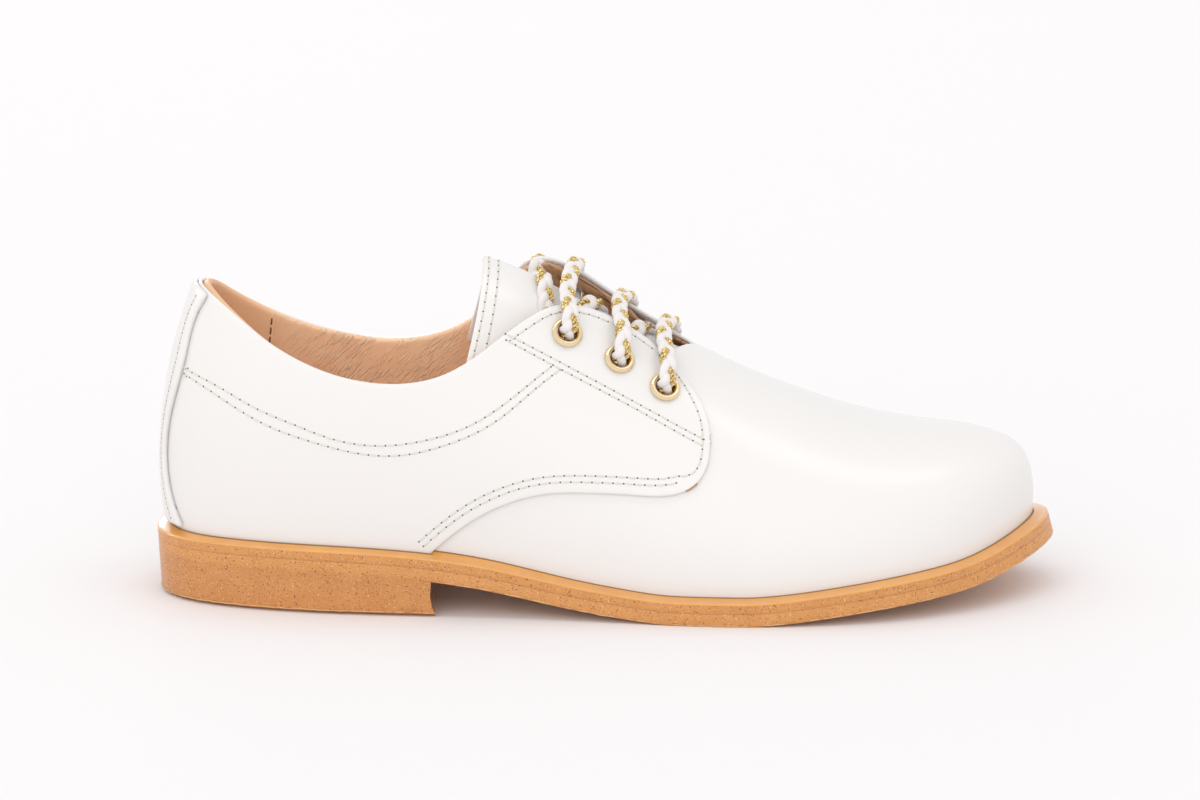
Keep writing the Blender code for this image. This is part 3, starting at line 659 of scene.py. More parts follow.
@functools.cache
def locate(x, z, side):
    """The parameters of the point on one side's quarter that is at x and z."""
    start, end = (0, TOE) if side == "lateral" else (TOE, 2 * TOE)
    low, high = np.array([start, LOCATE_LOW_T]), np.array([end, LOCATE_HIGH_T])
    for _ in range(LOCATE_ROUNDS):
        columns, rows = (np.linspace(low[i], high[i], LOCATE_GRID) for i in (0, 1))
        along, t = np.meshgrid(columns, rows)
        miss = np.linalg.norm(facing_surface(along, t)[..., [0, 2]] - [x, z], axis=-1)
        best = np.unravel_index(np.argmin(miss), miss.shape)
        found = np.array([along[best], t[best]])
        span = (high - low) * LOCATE_ZOOM
        low, high = found - span, found + span
    return found


def row_place(row, side):
    """The parameters of a table row's place on one side."""
    return locate(row[f"{side}_x"], row[f"{side}_z"], side)


def in_metres(points):
    return (points - np.array(ORIGIN)) * MM


def both_sides(steps):
    """Parameters round the whole edge, the same on both sides."""
    side = np.linspace(0, TOE, steps + 1)
    return np.concatenate([side, 2 * TOE - side[-2:0:-1]])


@functools.cache
def top_line():
    """The top line in the last's parameters, lateral and then medial, from the heel to the throat's end."""
    heel = heel_height_t(HEEL_TOP_Z)
    tip = float(crest_along(THROAT_X))
    marks = [[0, heel, 0, heel]]
    for row in named(PLACE_COLUMNS, TOP_LINE):
        lateral, medial = (row_place(row, side) for side in SIDES)
        marks.append([lateral[0], lateral[1], 2 * TOE - medial[0], medial[1]])
    return smooth_line([*marks, [tip, 1, tip, 1]], EDGE_STEPS)


def top_line_t(along):
    """How far up its rib the top line crosses it, for ribs of both sides, lateral ones from 0 to TOE."""
    line = top_line()
    along = np.asarray(along) % (2 * TOE)
    lateral = np.interp(along, line[:, 0], line[:, 1])
    return np.where(along < TOE, lateral, np.interp(2 * TOE - along, line[:, 2], line[:, 3]))


def heel_height_t(z):
    """How far up the middle of the heel's back a height is."""
    t = np.linspace(0, LOCATE_HIGH_T, SEARCH_STEPS)
    return float(np.interp(z, facing_surface(np.zeros(SEARCH_STEPS), t)[:, 2], t))


def wall(along, low, high, offset, rows):
    """A grid of points outside the last, a column for each rib, between two borders."""
    share = np.linspace(0, 1, rows)[:, None]
    return last_points(np.broadcast_to(along, (rows, len(along))), low + (high - low) * share, offset)


def close_crest(grid, high):
    """The grid with its top row joined to the other side's, where both run to the crest."""
    middle = (grid[-1] + grid[-1][::-1]) / 2
    grid[-1] = np.where((high >= 1)[:, None], middle, grid[-1])
    return grid


def add_object(name, data):
    obj = bpy.data.objects.new(name, data)
    bpy.context.scene.collection.objects.link(obj)
    return obj


def new_piece(name, points, faces, look, nodes=()):
    """A smooth piece of the shoe from points in millimetres, on the shoe's one body."""
    mesh = bpy.data.meshes.new(name)
    mesh.from_pydata(in_metres(np.reshape(points, (-1, 3))).tolist(), [], faces)
    work = bmesh.new()
    work.from_mesh(mesh)
    bmesh.ops.remove_doubles(work, verts=work.verts, dist=MERGE * MM)
    bmesh.ops.recalc_face_normals(work, faces=work.faces)
    if work.calc_volume(signed=True) < 0:
        bmesh.ops.reverse_faces(work, faces=work.faces)
    for face in work.faces:
        face.smooth = True
    work.to_mesh(mesh)
    work.free()
    mesh.set_sharp_from_angle(angle=math.radians(SHARP_ANGLE))
    material, slot = look
    mesh.materials.append(material)
    obj = add_object(name, mesh)
    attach(obj, "root")
    if nodes:
        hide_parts(*nodes)
    return obj


def grid_faces(rows, columns, start=0, closed=False):
    """The faces of a grid of points, whose columns may close into a ring."""
    faces = []
    for i in range(rows - 1):
        for j in range(columns if closed else columns - 1):
            n = (j + 1) % columns
            a, b = start + i * columns, start + (i + 1) * columns
            faces.append((a + j, a + n, b + n, b + j))
    return faces


def capped_faces(rows, columns):
    """The faces of a row of rings, closed at both ends."""
    last = (rows - 1) * columns
    caps = [tuple(range(columns)), tuple(range(last, last + columns))]
    return grid_faces(rows, columns, closed=True) + caps


def turned_to(axis, points):
    """Points turned so that what was upright stands along an axis."""
    turn = Vector((0, 0, 1)).rotation_difference(Vector(axis)).to_matrix()
    return points @ np.array(turn).T


def border_ways(grid):
    """For each point on a grid's border, the way that leads out of the grid."""
    ways = np.zeros_like(grid)
    ways[0] += unit(grid[0] - grid[1])
    ways[-1] += unit(grid[-1] - grid[-2])
    ways[:, 0] += unit(grid[:, 0] - grid[:, 1])
    ways[:, -1] += unit(grid[:, -1] - grid[:, -2])
    return ways


def round_sheet(name, outer, inner, look, nodes=(), open_top=None, sides=True):
    """A closed sheet between two grids with full round edges. On top they run where it is open."""
    rows, columns = outer.shape[:2]
    count = rows * columns
    points = [*outer.reshape(-1, 3), *inner.reshape(-1, 3)]
    faces = grid_faces(rows, columns) + grid_faces(rows, columns, count)
    edges = [((0, j), (0, j + 1)) for j in range(columns - 1)]
    for j in range(columns - 1):
        if open_top is None or open_top[j] or open_top[j + 1]:
            edges.append(((rows - 1, j), (rows - 1, j + 1)))
    if sides:
        edges += [((i, j), (i + 1, j)) for i in range(rows - 1) for j in (0, columns - 1)]
    ways = border_ways(outer)
    strips = {}
    for i, j in sorted({mark for edge in edges for mark in edge}):
        middle, half = (outer[i, j] + inner[i, j]) / 2, (outer[i, j] - inner[i, j]) / 2
        across = unit(half)
        way = unit(ways[i, j] - across * ways[i, j].dot(across)) * np.linalg.norm(half)
        strip = [i * columns + j]
        for turn in np.linspace(0, math.pi, EDGE_TURNS + 1)[1:-1]:
            strip.append(len(points))
            points.append(middle + half * math.cos(turn) + way * math.sin(turn))
        strips[i, j] = strip + [count + i * columns + j]
    for a, b in edges:
        for k in range(EDGE_TURNS):
            faces.append((strips[a][k], strips[b][k], strips[b][k + 1], strips[a][k + 1]))
    return new_piece(name, np.array(points), faces, look, nodes)


@functools.cache
def quarter_border(side):
    """The free edge of a quarter in the last's parameters, counted from the heel on either side."""
    marks = [[0, heel_height_t(HEEL_TOP_Z)]]
    for row in named(PLACE_COLUMNS, QUARTER_LINE):
        along, t = row_place(row, side)
        marks.append([side_ribs(along, side), t])
    line = smooth_line(np.array(marks) * [1, RIB_LENGTH], BORDER_STEPS) / [1, RIB_LENGTH]
    nose = int(np.argmax(line[:, 0]))
    return line[: nose + 1], line[nose:][::-1]


def make_quarter(side, looks):
    """One quarter with its facing: from the sole to the collar, and forward to its round front edge."""
    upper, lower = quarter_border(side)
    ribs = (upper[-1, 0] - NOSE_CUT) * np.sin(np.linspace(0, math.pi / 2, QUARTER_RIBS))
    high = np.interp(ribs, upper[:, 0], upper[:, 1])
    low = np.interp(ribs, lower[:, 0], lower[:, 1], left=FOOT_T)
    along = side_ribs(ribs, side)
    outer = wall(along, low, high, QUARTER_STEP, QUARTER_ROWS)
    inner = wall(along, low, high, QUARTER_BACK, QUARTER_ROWS)
    return round_sheet(f"quarter_{side}", outer, inner, looks["leather"], ["upper"])


def make_vamp(looks):
    """The vamp, from under the quarters round the toe."""
    along = mirrored(np.linspace(edge_along(VAMP_BACK_X, "lateral"), TOE, VAMP_RIBS))
    crest_x = rib(along, "crest_x")
    tuck = np.interp(crest_x, *np.transpose(VAMP_TUCK))
    high = np.where(crest_x >= THROAT_X, 1.0, np.minimum(top_line_t(along) - RIM_DROP_T, tuck))
    outer = close_crest(wall(along, FOOT_T, high, 0.0, VAMP_ROWS), high)
    inner = close_crest(wall(along, FOOT_T, high, -VAMP_LEATHER, VAMP_ROWS), high)
    return round_sheet("vamp", outer, inner, looks["leather"], ["upper"], high < 1)


def make_lining(looks):
    """The leather that lines the inside up to the top line, with a second piece over it at the heel."""
    seam = LINING_SEAM + np.array(SEAM_RIBS)
    along = mirrored(np.sort(np.concatenate([np.linspace(0, TOE, LINING_RIBS), seam])))
    crest_x = rib(along, "crest_x")
    ribs = np.minimum(along, 2 * TOE - along)
    lateral, medial = (np.interp(ribs, *np.transpose(LINING_DROP_T[side])) for side in SIDES)
    drop = np.where(along < TOE, lateral, medial)
    high = np.where(crest_x >= THROAT_X, 1.0, top_line_t(along) - drop)
    lap = LINING_LAP * smooth_step((LINING_SEAM - ribs) / SEAM_RIBS[-1])
    up = np.linspace(0, 1, LINING_ROWS)[:, None]
    start, full = LINING_FILL
    fill = smooth_step((up - start) / (full - start)) * (crest_x < LINING_FILL_X)
    outer = close_crest(wall(along, 0.0, high, VAMP_LEATHER * (fill - 1) - SEAM, LINING_ROWS), high)
    inner = close_crest(wall(along, 0.0, high, -WALL - lap, LINING_ROWS), high)
    return round_sheet("lining", outer, inner, looks["lining"], ["upper"], high < 1, sides=False)


def strip_grid(offset, rows, across):
    """Points on the back strip: rows from the sole to the top line, and shares of its half width across."""
    width = curve_of(STRIP_COLUMNS, BACK_STRIP, "half_width")
    low = heel_height_t(last_surface(0.0, 0.0)[2] + STRIP_FOOT)
    high = heel_height_t(HEEL_TOP_Z)
    middle = last_points(np.zeros(len(rows)), low + (high - low) * rows, 0)
    along = width(middle[:, 2]) * across
    return last_points(along, low + (top_line_t(along) - STRIP_TOP_T - low) * rows[:, None], offset)


def make_back_strip(looks):
    rows, across = np.linspace(0, 1, STRIP_ROWS), np.linspace(-1, 1, STRIP_ACROSS)
    outer = strip_grid(STRIP_FACE, rows, across)
    inner = strip_grid(QUARTER_STEP + SEAM, rows, across)
    return round_sheet("back_strip", outer, inner, looks["leather"], ["back_strip"])


@functools.cache
def tongue_grid(depth):
    """Points on the tongue at a depth under its outer face."""
    across = np.linspace(-1, 1, TONGUE_ACROSS)
    middle = TONGUE_ACROSS // 2
    grid = []
    for row in named(TONGUE_COLUMNS, smooth_line(TONGUE_ROWS, TONGUE_STEPS)):
        side = crest_along(row["crest_x"] - row["fall_back"] * across**2)
        along = np.where(across < 0, side, 2 * TOE - side)
        sink = row["crest_sink"] + (row["side_sink"] - row["crest_sink"]) * np.abs(across)
        line = last_points(along, 1 - row["hang"] * np.abs(across), -(WALL + sink + depth), lifted=False)
        line[middle] = (line[middle - 1] + line[middle + 1]) / 2 + [0, 0, TONGUE_CREST]
        grid.append(line)
    return np.array(grid)


def make_tongue(looks):
    """The tongue: white leather outside, lining leather inside."""
    seam = TONGUE * TONGUE_SHARE
    round_sheet("tongue", tongue_grid(0.0), tongue_grid(seam - SEAM), looks["leather"], ["tongue"])
    faces = [tongue_grid(depth).copy() for depth in (seam, TONGUE)]
    for face in faces:
        face[0] = inset_line(face, TONGUE_LINING_INSET)
    round_sheet("tongue_lining", *faces, looks["sock"])


def feather_edge(inset):
    """A ring in plan where the upper meets the sole, moved inwards by inset."""
    along = both_sides(SOLE_STEPS)
    return outline(along, rib(along, "ledge") + inset)


def ring_piece(name, rings, look, nodes):
    """A closed piece through rings whose halves mirror each other."""
    size = len(rings[0])
    half = size // 2
    points = [point for ring in rings for point in ring]
    faces = grid_faces(len(rings), size, closed=True)
    share = np.linspace(0, 1, CAP_ACROSS)[None, :, None]
    for ring in (rings[0], rings[-1]):
        lateral, medial = ring[: half + 1], np.roll(ring[::-1], 1, axis=0)[: half + 1]
        cap = lateral[:, None] * (1 - share) + medial[:, None] * share
        faces += grid_faces(half + 1, CAP_ACROSS, len(points))
        points += list(cap.reshape(-1, 3))
    return new_piece(name, np.array(points), faces, look, nodes)


def make_insole(looks):
    plan, rim = feather_edge(WALL + INSOLE_CLEAR), feather_edge(WALL + INSOLE_CLEAR + SOCK_ROUND)
    foot = feather_height(plan[:, 0]) + GAP
    rings = [
        on_sole(plan, foot),
        on_sole(plan, foot + INSOLE - SOCK_ROUND),
        on_sole(rim, foot + INSOLE),
    ]
    return ring_piece("sock", rings, looks["sock"], ["insole"])


def edge_rings(profile):
    """Rings round the sole through a profile of its edge."""
    along = both_sides(SOLE_STEPS)
    rows = named(PROFILE_COLUMNS, profile)
    return [on_sole(outline(along, row["inset"]), row["height"]) for row in rows]


def slope_width(along):
    """How wide the welt's slope is, with what lies under the upper."""
    return rib(along, "ledge") + WELT_UNDER - WELT_LIP


def welt_top(along, inset):
    """Points on the welt's slope, by how far they lie inside the edge of the sole."""
    rise = np.interp((inset - WELT_LIP) / slope_width(along), *np.transpose(WELT_SLOPE))
    plan = outline(along, inset)
    return on_sole(plan, LIP_HEIGHT + SOLE_CURVE(plan[:, 0])[:, 1] * rise)


def make_welt(looks):
    """The welt: a plain edge, and over it a smooth lip with a top that slopes up to the upper."""
    ring_piece("welt_edge", edge_rings(WELT_EDGE_PROFILE), looks["sole"], ["welt"])
    rings = edge_rings(WELT_LIP_PROFILE)
    along = both_sides(SOLE_STEPS)
    for share, _ in WELT_SLOPE:
        rings.append(welt_top(along, WELT_LIP + slope_width(along) * share))
    return ring_piece("welt", rings, looks["welt"], ["welt"])


def make_outsole(looks):
    return ring_piece("outsole", edge_rings(OUTSOLE_PROFILE), looks["sole"], ["outsole"])


def edge_along(x, side):
    """The parameter of the sole's edge at x on one side."""
    ribs = np.linspace(0, TOE, SEARCH_STEPS)
    return float(side_ribs(np.interp(x, rib(side_ribs(ribs, side), "x"), ribs), side))


def sole_spans(x):
    """The parts of the sole's edge behind x and before it."""
    lateral, medial = edge_along(x, "lateral"), edge_along(x, "medial")
    return np.linspace(medial - 2 * TOE, lateral, HEEL_STEPS), np.linspace(lateral, medial, 2 * SOLE_STEPS)


def make_heel(looks):
    """The heel block, from its round back to its hollowed breast, with broken edges."""
    back, _ = sole_spans(HEEL_BREAST_X)
    across = np.linspace(-1, 1, HEEL_ACROSS)[1:-1, None]
    rings = []
    for row in named(HEEL_COLUMNS, HEEL_PROFILE):
        ring = outline(back, row["inset"])
        breast = (ring[-1] * (1 - across) + ring[0] * (1 + across)) / 2
        breast[:, :1] -= HEEL_BREAST_HOLLOW * (1 - across**2)
        ring = np.vstack([ring, breast])
        ring[:, 0] -= row["breast"] * smooth_step((ring[:, 0] - HEEL_BREAST_X) / HEEL_BREAST_REACH + 1)
        rings.append(np.column_stack([ring, (underside_z(ring[:, 0]) - SEAM) * row["height_share"]]))
    return new_piece("heel", rings, capped_faces(len(rings), len(rings[0])), looks["heel"], ["heel"])


def edge_tube(line, radius):
    """A thin cord along a line that lies on the shoe."""
    ahead = unit(np.gradient(line, axis=0))
    side = np.where(np.abs(ahead[:, 2:]) < STEEP, [[0, 0, 1.0]], [[0, 1.0, 0]])
    return tube(line, side, radius, radius, EDGE_SIDES)


def make_raw_edges(looks):
    """The grey cut edges of the back strip, and the tan ones at the quarters' front corners."""
    rows = np.linspace(*RAW_EDGE_SPAN, STRIP_ROWS)
    both = strip_grid(QUARTER_STEP + RAW_EDGE_R, rows, np.array([-1, 1]) * RAW_EDGE_OUT)
    strips = [edge_tube(both[:, i], RAW_EDGE_R) for i in (0, 1)]
    new_piece("strip_edges", *joined(strips), looks["raw_grey"])
    corners = []
    for side in SIDES:
        _, lower = quarter_border(side)
        ribs = lower[-1, 0] + np.linspace(*CORNER_RIBS, CORNER_STEPS)
        t = np.interp(ribs, lower[:, 0], lower[:, 1]) - CORNER_DROP_T
        corners.append(edge_tube(last_points(side_ribs(ribs, side), t, QUARTER_STEP / 2), CORNER_R))
    new_piece("corner_edges", *joined(corners), looks["raw_tan"])


def make_welt_joint_shade(looks):
    """A dark cord of painted shade where the upper stands on the welt: under the quarters, and under the
    vamp.
    """
    back, front = sole_spans(SHADE_TURN_X)
    parts = []
    for along, leather in ((back, QUARTER_STEP), (front, 0.0)):
        parts.append(edge_tube(welt_top(along, rib(along, "ledge") - leather), WELT_SHADE_R))
    new_piece("welt_seam", *joined(parts), looks["welt_seam"])


def make_sole_fray_highlight(looks):
    """The pale, uneven lower edges of the heel, and of the outsole before it: ragged fray, lightened as a
    painted highlight where the edge catches light from the floor.
    """
    back, front = sole_spans(HEEL_BREAST_X)
    heel = outline(back, HEEL_FRAY_HIGHLIGHT_INSET)
    heel_line = np.column_stack([heel, np.full(len(heel), HEEL_FRAY_HIGHLIGHT_Z)])
    sole_line = on_sole(outline(front, FRAY_HIGHLIGHT_INSET), FRAY_HIGHLIGHT_HEIGHT)
    random = np.random.default_rng(FRAY_SEED)
    parts = []
    for line in (heel_line, sole_line):
        parts.append(edge_tube(line + random.normal(0, FRAY_SPREAD, line.shape), FRAY_HIGHLIGHT_R))
    new_piece("sole_fray_highlight", *joined(parts), looks["fray"])


def eyelet_place(row, side):
    """An eyelet's centre on the facing's outer face, and its axis."""
    along, t = row_place(row, side)
    return facing_surface(along, t), facing_normal(along, t)


def eyelet_places():
    """Each eyelet's name, centre and axis."""
    places = []
    for number, row in enumerate(named(PLACE_COLUMNS, EYELETS), 1):
        for side in SIDES:
            places.append((f"eyelet_{side}_{number}", *eyelet_place(row, side)))
    return places


def make_eyelet(name, centre, axis, looks):
    """A rolled metal ring with a barrel through the facing."""
    angles = np.linspace(0, 2 * math.pi, EYELET_STEPS + 1)[:, None]
    radius, height = np.transpose(EYELET_PROFILE)
    spokes = np.stack([radius * np.cos(angles), radius * np.sin(angles), height + 0 * angles], -1)
    faces = grid_faces(EYELET_STEPS + 1, len(EYELET_PROFILE), closed=True)
    return new_piece(name, turned_to(axis, spokes) + centre, faces, looks["gold"], [name])


def pierce(obj, places):
    """Opens a sheet round the axis of each eyelet, under its flange."""
    work = bmesh.new()
    work.from_mesh(obj.data)
    for _, centre, axis in places:
        inside, _, _ = round_axis(work, centre, axis)
        near = [vert for vert, reach in zip(work.verts, inside) if reach < EYELET_HOLE]
        found = {face for vert in near for face in vert.link_faces}
        bmesh.ops.delete(work, geom=list(found), context="FACES")
        reach, depth, spoke = round_axis(work, centre, axis)
        for i, vert in enumerate(work.verts):
            if vert.is_boundary and reach[i] < HOLE_SNAP:
                vert.co = in_metres(centre + axis * depth[i] + spoke[i] * EYELET_HOLE)
    work.to_mesh(obj.data)
    work.free()


def round_axis(work, centre, axis):
    """For each vertex, how far it is from an eyelet's axis, how far along it, and which way from it."""
    off = np.array([vert.co for vert in work.verts]) / MM + ORIGIN - centre
    depth = off @ axis
    spoke = off - depth[:, None] * axis
    reach = np.where(np.abs(depth) < HOLE_SNAP, np.linalg.norm(spoke, axis=1), np.inf)
    return reach, depth, unit(spoke)


def facing_rim(along):
    """The outer rim of a facing where a rib meets it, and the way straight off that corner."""
    t = top_line_t(along)
    rim = facing_surface(along, t)
    up = unit(rim - facing_surface(along, t - RIM_STEP_T))
    return rim, unit(up + facing_normal(along, t))


def bar_end(row, side):
    """One end of a bar: from inside its eyelet, out, round, and over the edge of its facing."""
    centre, axis = eyelet_place(row, side)
    rim, off = facing_rim(row_place(row, side)[0])
    ahead = rim - centre
    ahead = unit(ahead - axis * ahead.dot(axis))
    top = GAP + EYELET_FLANGE
    bend = math.sqrt(0.5)
    return [
        centre - axis * LACE_TUCK,
        centre + axis * top / 2,
        centre + axis * (top + LACE_TURN * bend) + ahead * LACE_TURN * (1 - bend),
        centre + axis * (top + LACE_TURN) + ahead * LACE_TURN,
        rim + off * LACE_LIFT,
    ]


def cross_ways(path, normals):
    """The directions across a path and off it: square to it, and as near as may be to the normals."""
    ahead = unit(np.gradient(path, axis=0))
    across = unit(np.cross(normals, ahead))
    return across, np.cross(ahead, across)


def tube(path, normals, wide, thick, sides):
    """The points and faces of an oval tube along a path, closed at both ends."""
    across, off = cross_ways(path, normals)
    angles = np.linspace(0, 2 * math.pi, sides, endpoint=False)[None, :, None]
    points = path[:, None] + across[:, None] * wide * np.cos(angles) + off[:, None] * thick * np.sin(angles)
    return points.reshape(-1, 3), capped_faces(len(path), sides)


def joined(parts):
    """Many sets of points and faces as one."""
    points, faces, start = [], [], 0
    for some_points, some_faces in parts:
        points.append(some_points)
        faces += [tuple(start + v for v in face) for face in some_faces]
        start += len(some_points)
    return np.concatenate(points), faces


def even_path(points, step):
    """A smooth path through the points, in even steps."""
    rough = smooth_line(points, PATH_STEPS)
    lengths = lengths_along(rough)
    marks = np.linspace(0, lengths[-1], max(2, int(round(lengths[-1] / step)) + 1))
    return at_lengths(rough, lengths, marks)


def swung(path, normals, out, rise, angle):
    """A path that swings across another one and rises off it as a plait's strand does."""
    across, off = cross_ways(path, normals)
    sideways = across * (out * np.sin(angle))[:, None]
    return path + sideways + off * (rise * np.sin(PLAIT_RISES * angle))[:, None]


def make_lace(name, route, wide, looks, nodes=()):
    """One run of the lace: a plait of two full white strands and a thin gold cord, flat along wide."""
    path = even_path(route, CORD_STEP)
    normals = unit(np.cross(unit(np.gradient(path, axis=0)), wide))
    place = 2 * math.pi * CORD_STEP * np.arange(len(path))
    swing = place / PLAIT_PITCH
    whites = []
    for phase in WHITE_PHASES:
        strand = swung(path, normals, PLAIT_OUT, PLAIT_RISE, swing + phase)
        whites.append(tube(strand, normals, WHITE_WIDE, WHITE_THICK, WHITE_SIDES))
    new_piece(name, *joined(whites), looks["lace"], nodes)
    gold = swung(path, normals, PLAIT_OUT + GOLD_PROUD, PLAIT_RISE + GOLD_PROUD, swing + GOLD_PHASE)
    across, off = cross_ways(gold, normals)
    threads = []
    for turn in range(GOLD_THREADS):
        angle = (place / GOLD_TWIST + 2 * math.pi * turn / GOLD_THREADS)[:, None]
        thread = gold + GOLD_THREAD_OUT * (across * np.cos(angle) + off * np.sin(angle))
        threads.append(tube(thread, normals, GOLD_THREAD_R, GOLD_THREAD_R, GOLD_SIDES))
    new_piece(f"{name}_gold", *joined(threads), looks["gold_thread"])


def instep_way(x):
    """The way along the crest at x."""
    return unit(np.array([1, *CREST_CURVE.slope(x)]))


def over_tongue(start, end, shares):
    """Points at shares of the way from start to end, at the lace's height over the tongue."""
    grid = tongue_grid(0.0).reshape(-1, 3)
    points = []
    for share in shares:
        point = start + (end - start) * share
        miss = np.linalg.norm(grid[:, :2] - point[:2], axis=1)
        near = np.argsort(miss)[:NEAR_POINTS]
        weight = 1 / (miss[near] + MERGE)
        point[2] = (grid[near, 2] * weight).sum() / weight.sum() + LACE_LIFT
        points.append(point)
    return points


def behind_eyelet(row, side):
    """A point under a facing, behind its eyelet."""
    centre, axis = eyelet_place(row, side)
    return centre - axis * LACE_BEHIND


def make_laces(looks):
    """The bars that show, the runs under them from eyelet to eyelet, and the run over the far facing."""
    rows = named(PLACE_COLUMNS, EYELETS)
    for number, row in enumerate(rows, 1):
        route = bar_end(row, "lateral") + bar_end(row, "medial")[::-1]
        make_lace(f"lace_bar_{number}", route, instep_way(row["lateral_x"]), looks, [f"lace_bar_{number}"])
    for number, (row, below) in enumerate(zip(rows, rows[1:]), 1):
        start, end = behind_eyelet(row, "lateral"), behind_eyelet(below, "medial")
        route = [start, *over_tongue(start, end, UNDER_SHARES), end]
        make_lace(f"lace_under_{number}", route, instep_way(row["lateral_x"]), looks)
    make_lace("lace_end", end_run(rows[0]), instep_way(rows[0]["lateral_x"]), looks)


def end_run(row):
    """The run that leaves the top medial eyelet, comes back over its facing and goes under the other."""
    centre, axis = eyelet_place(row, "medial")
    rim, off = facing_rim(locate(END_RIM_X, END_RIM_Z, "medial")[0])
    end = behind_eyelet(row, "lateral") - instep_way(row["lateral_x"]) * END_BACK
    return [
        centre + axis * (EYELET_FLANGE + LACE_LIFT),
        (centre + rim) / 2 + axis * LACE_LIFT,
        rim + off * (LACE_LIFT - END_SINK),
        *over_tongue(rim, end, END_SHARES),
        end,
    ]


def stitches(line, normals):
    """The threads and the needle holes of a row of stitches along a line with its normals."""
    lengths = lengths_along(line)
    count = max(1, int(round(lengths[-1] / STITCH_PITCH)))
    marks = np.linspace(0, lengths[-1], count + 1)
    shares, lifts = np.transpose(STITCH_ARC)
    threads = []
    for start, end in zip(marks, marks[1:]):
        places = start + (end - start) * shares
        ways = unit(at_lengths(normals, lengths, places))
        path = at_lengths(line, lengths, places) + ways * lifts[:, None]
        threads.append(tube(path, ways, STITCH_R, STITCH_R, STITCH_SIDES))
    angles = np.linspace(0, 2 * math.pi, HOLE_SIDES, endpoint=False)
    ring = np.column_stack([HOLE_R * np.cos(angles), HOLE_R * np.sin(angles), 0 * angles])
    rings = np.vstack([ring + [0, 0, HOLE_LIFT], ring * HOLE_TAPER - [0, 0, HOLE_DEPTH]])
    faces = capped_faces(2, HOLE_SIDES)
    holes = []
    for point, way in zip(at_lengths(line, lengths, marks), at_lengths(normals, lengths, marks)):
        holes.append((turned_to(unit(way), rings) + point, faces))
    return threads, holes


def surface_row(marks, side):
    """A smooth line on a quarter through places in the last's parameters, with its normals."""
    line = smooth_line(np.asarray(marks) * [1, RIB_LENGTH], ROW_STEPS) / [1, RIB_LENGTH]
    along, t = side_ribs(line[:, 0], side), line[:, 1]
    return facing_surface(along, t), facing_normal(along, t)


def table_row(rows, side):
    """A row of stitches through a table of places seen from the side."""
    marks = []
    for x, z in rows:
        along, t = locate(x, z, side)
        marks.append([side_ribs(along, side), t])
    return surface_row(marks, side)


def inset_row(border, side, inset, turn):
    """A row of stitches at a distance from a border of a quarter, to the left of it or to the right."""
    along, t = side_ribs(border[:, 0], side), border[:, 1]
    way = unit(np.gradient(facing_surface(along, t), axis=0))
    across = np.cross(facing_normal(along, t), way) * (turn if side == "lateral" else -turn)
    move = across * np.broadcast_to(inset, len(border))[:, None]
    ahead, up = slopes_of(facing_surface, along, t)
    long, tall, mixed = (ahead**2).sum(1), (up**2).sum(1), (ahead * up).sum(1)
    square = long * tall - mixed**2
    move_ahead, move_up = (move * ahead).sum(1), (move * up).sum(1)
    along = along + (move_ahead * tall - move_up * mixed) / square
    t = t + (move_up * long - move_ahead * mixed) / square
    return surface_row(np.column_stack([side_ribs(along, side), t]), side)


def quarter_rows(side):
    """The rows of stitches on one quarter: collar, eyestay, and along its front and lower edge."""
    tables = (COLLAR_ROW_HIGH, COLLAR_ROW_LOW, EYESTAY_ROW_HIGH, EYESTAY_ROW_LOW)
    rows = [table_row(table, side) for table in tables]
    upper, lower = quarter_border(side)
    facing = upper[upper[:, 0] > edge_row_start(side)]
    border = np.vstack([facing, lower[::-1][1:]])[::BORDER_THIN]
    turned = smooth_step((lower[-1, 0] - CORNER_START - border[:, 0]) / CORNER_LENGTH)
    turned[: len(facing) // BORDER_THIN] = 0
    inset = FRONT_INSET + (LOW_INSET + ROW_GAP - FRONT_INSET) * turned
    rows.append(inset_row(border, side, inset, -1))
    back = lower[lower[:, 0] < lower[-1, 0] - CORNER_START - CORNER_LENGTH]
    rows.append(inset_row(back[::BORDER_THIN], side, LOW_INSET, 1))
    return rows


def make_stitching(looks):
    """The rows of stitches on the quarters, the back strip, the tongue and the lining."""
    rows = [row for side in SIDES for row in quarter_rows(side)]
    share = np.linspace(*STRIP_ROW_SPAN, STRIP_ROWS)
    across = np.array([-STRIP_ROW_SHARE, STRIP_ROW_SHARE])
    face, outer = (strip_grid(STRIP_FACE + step, share, across) for step in (0.0, NORMAL_STEP))
    for i in (0, 1):
        rows.append((face[:, i], unit(outer[:, i] - face[:, i])))
    top, under = tongue_grid(0.0), tongue_grid(TONGUE)
    for inset in TONGUE_STITCH_INSETS:
        line = inset_line(top, inset)[1:-1]
        rows.append((line, unit(line - inset_line(under, inset)[1:-1])))
    sew("stitching", rows, looks["thread"], looks["hole"])
    sew("lining_stitching", [lining_row(side) for side in SIDES], looks["seam"], looks["lining"])


def sew(name, rows, thread, hole):
    """Rows of stitches as one piece for all threads and one for all needle holes."""
    threads, holes = [], []
    for line, normals in rows:
        some_threads, some_holes = stitches(line, normals)
        threads += some_threads
        holes += some_holes
    new_piece(name, *joined(threads), thread)
    new_piece(f"{name}_holes", *joined(holes), hole)


def lining_row(side):
    """The row of stitches along the front edge of the heel's piece of the lining."""
    along = side_ribs(np.full(ROW_STEPS, LINING_SEAM - LINING_STITCH_INSET), side)
    t = top_line_t(along) * np.linspace(*LINING_STITCH_T, ROW_STEPS)
    return last_points(along, t, -WALL - LINING_LAP), -facing_normal(along, t)


def inset_line(grid, inset):
    """The line across a grid at a distance from its first row."""
    way = unit(grid[1] - grid[0])
    return grid[0] + way * inset


def edge_row_start(side):
    """Where on a quarter the row along its edge starts, behind the facing."""
    return side_ribs(locate(*EDGE_ROW_START, side)[0], side)


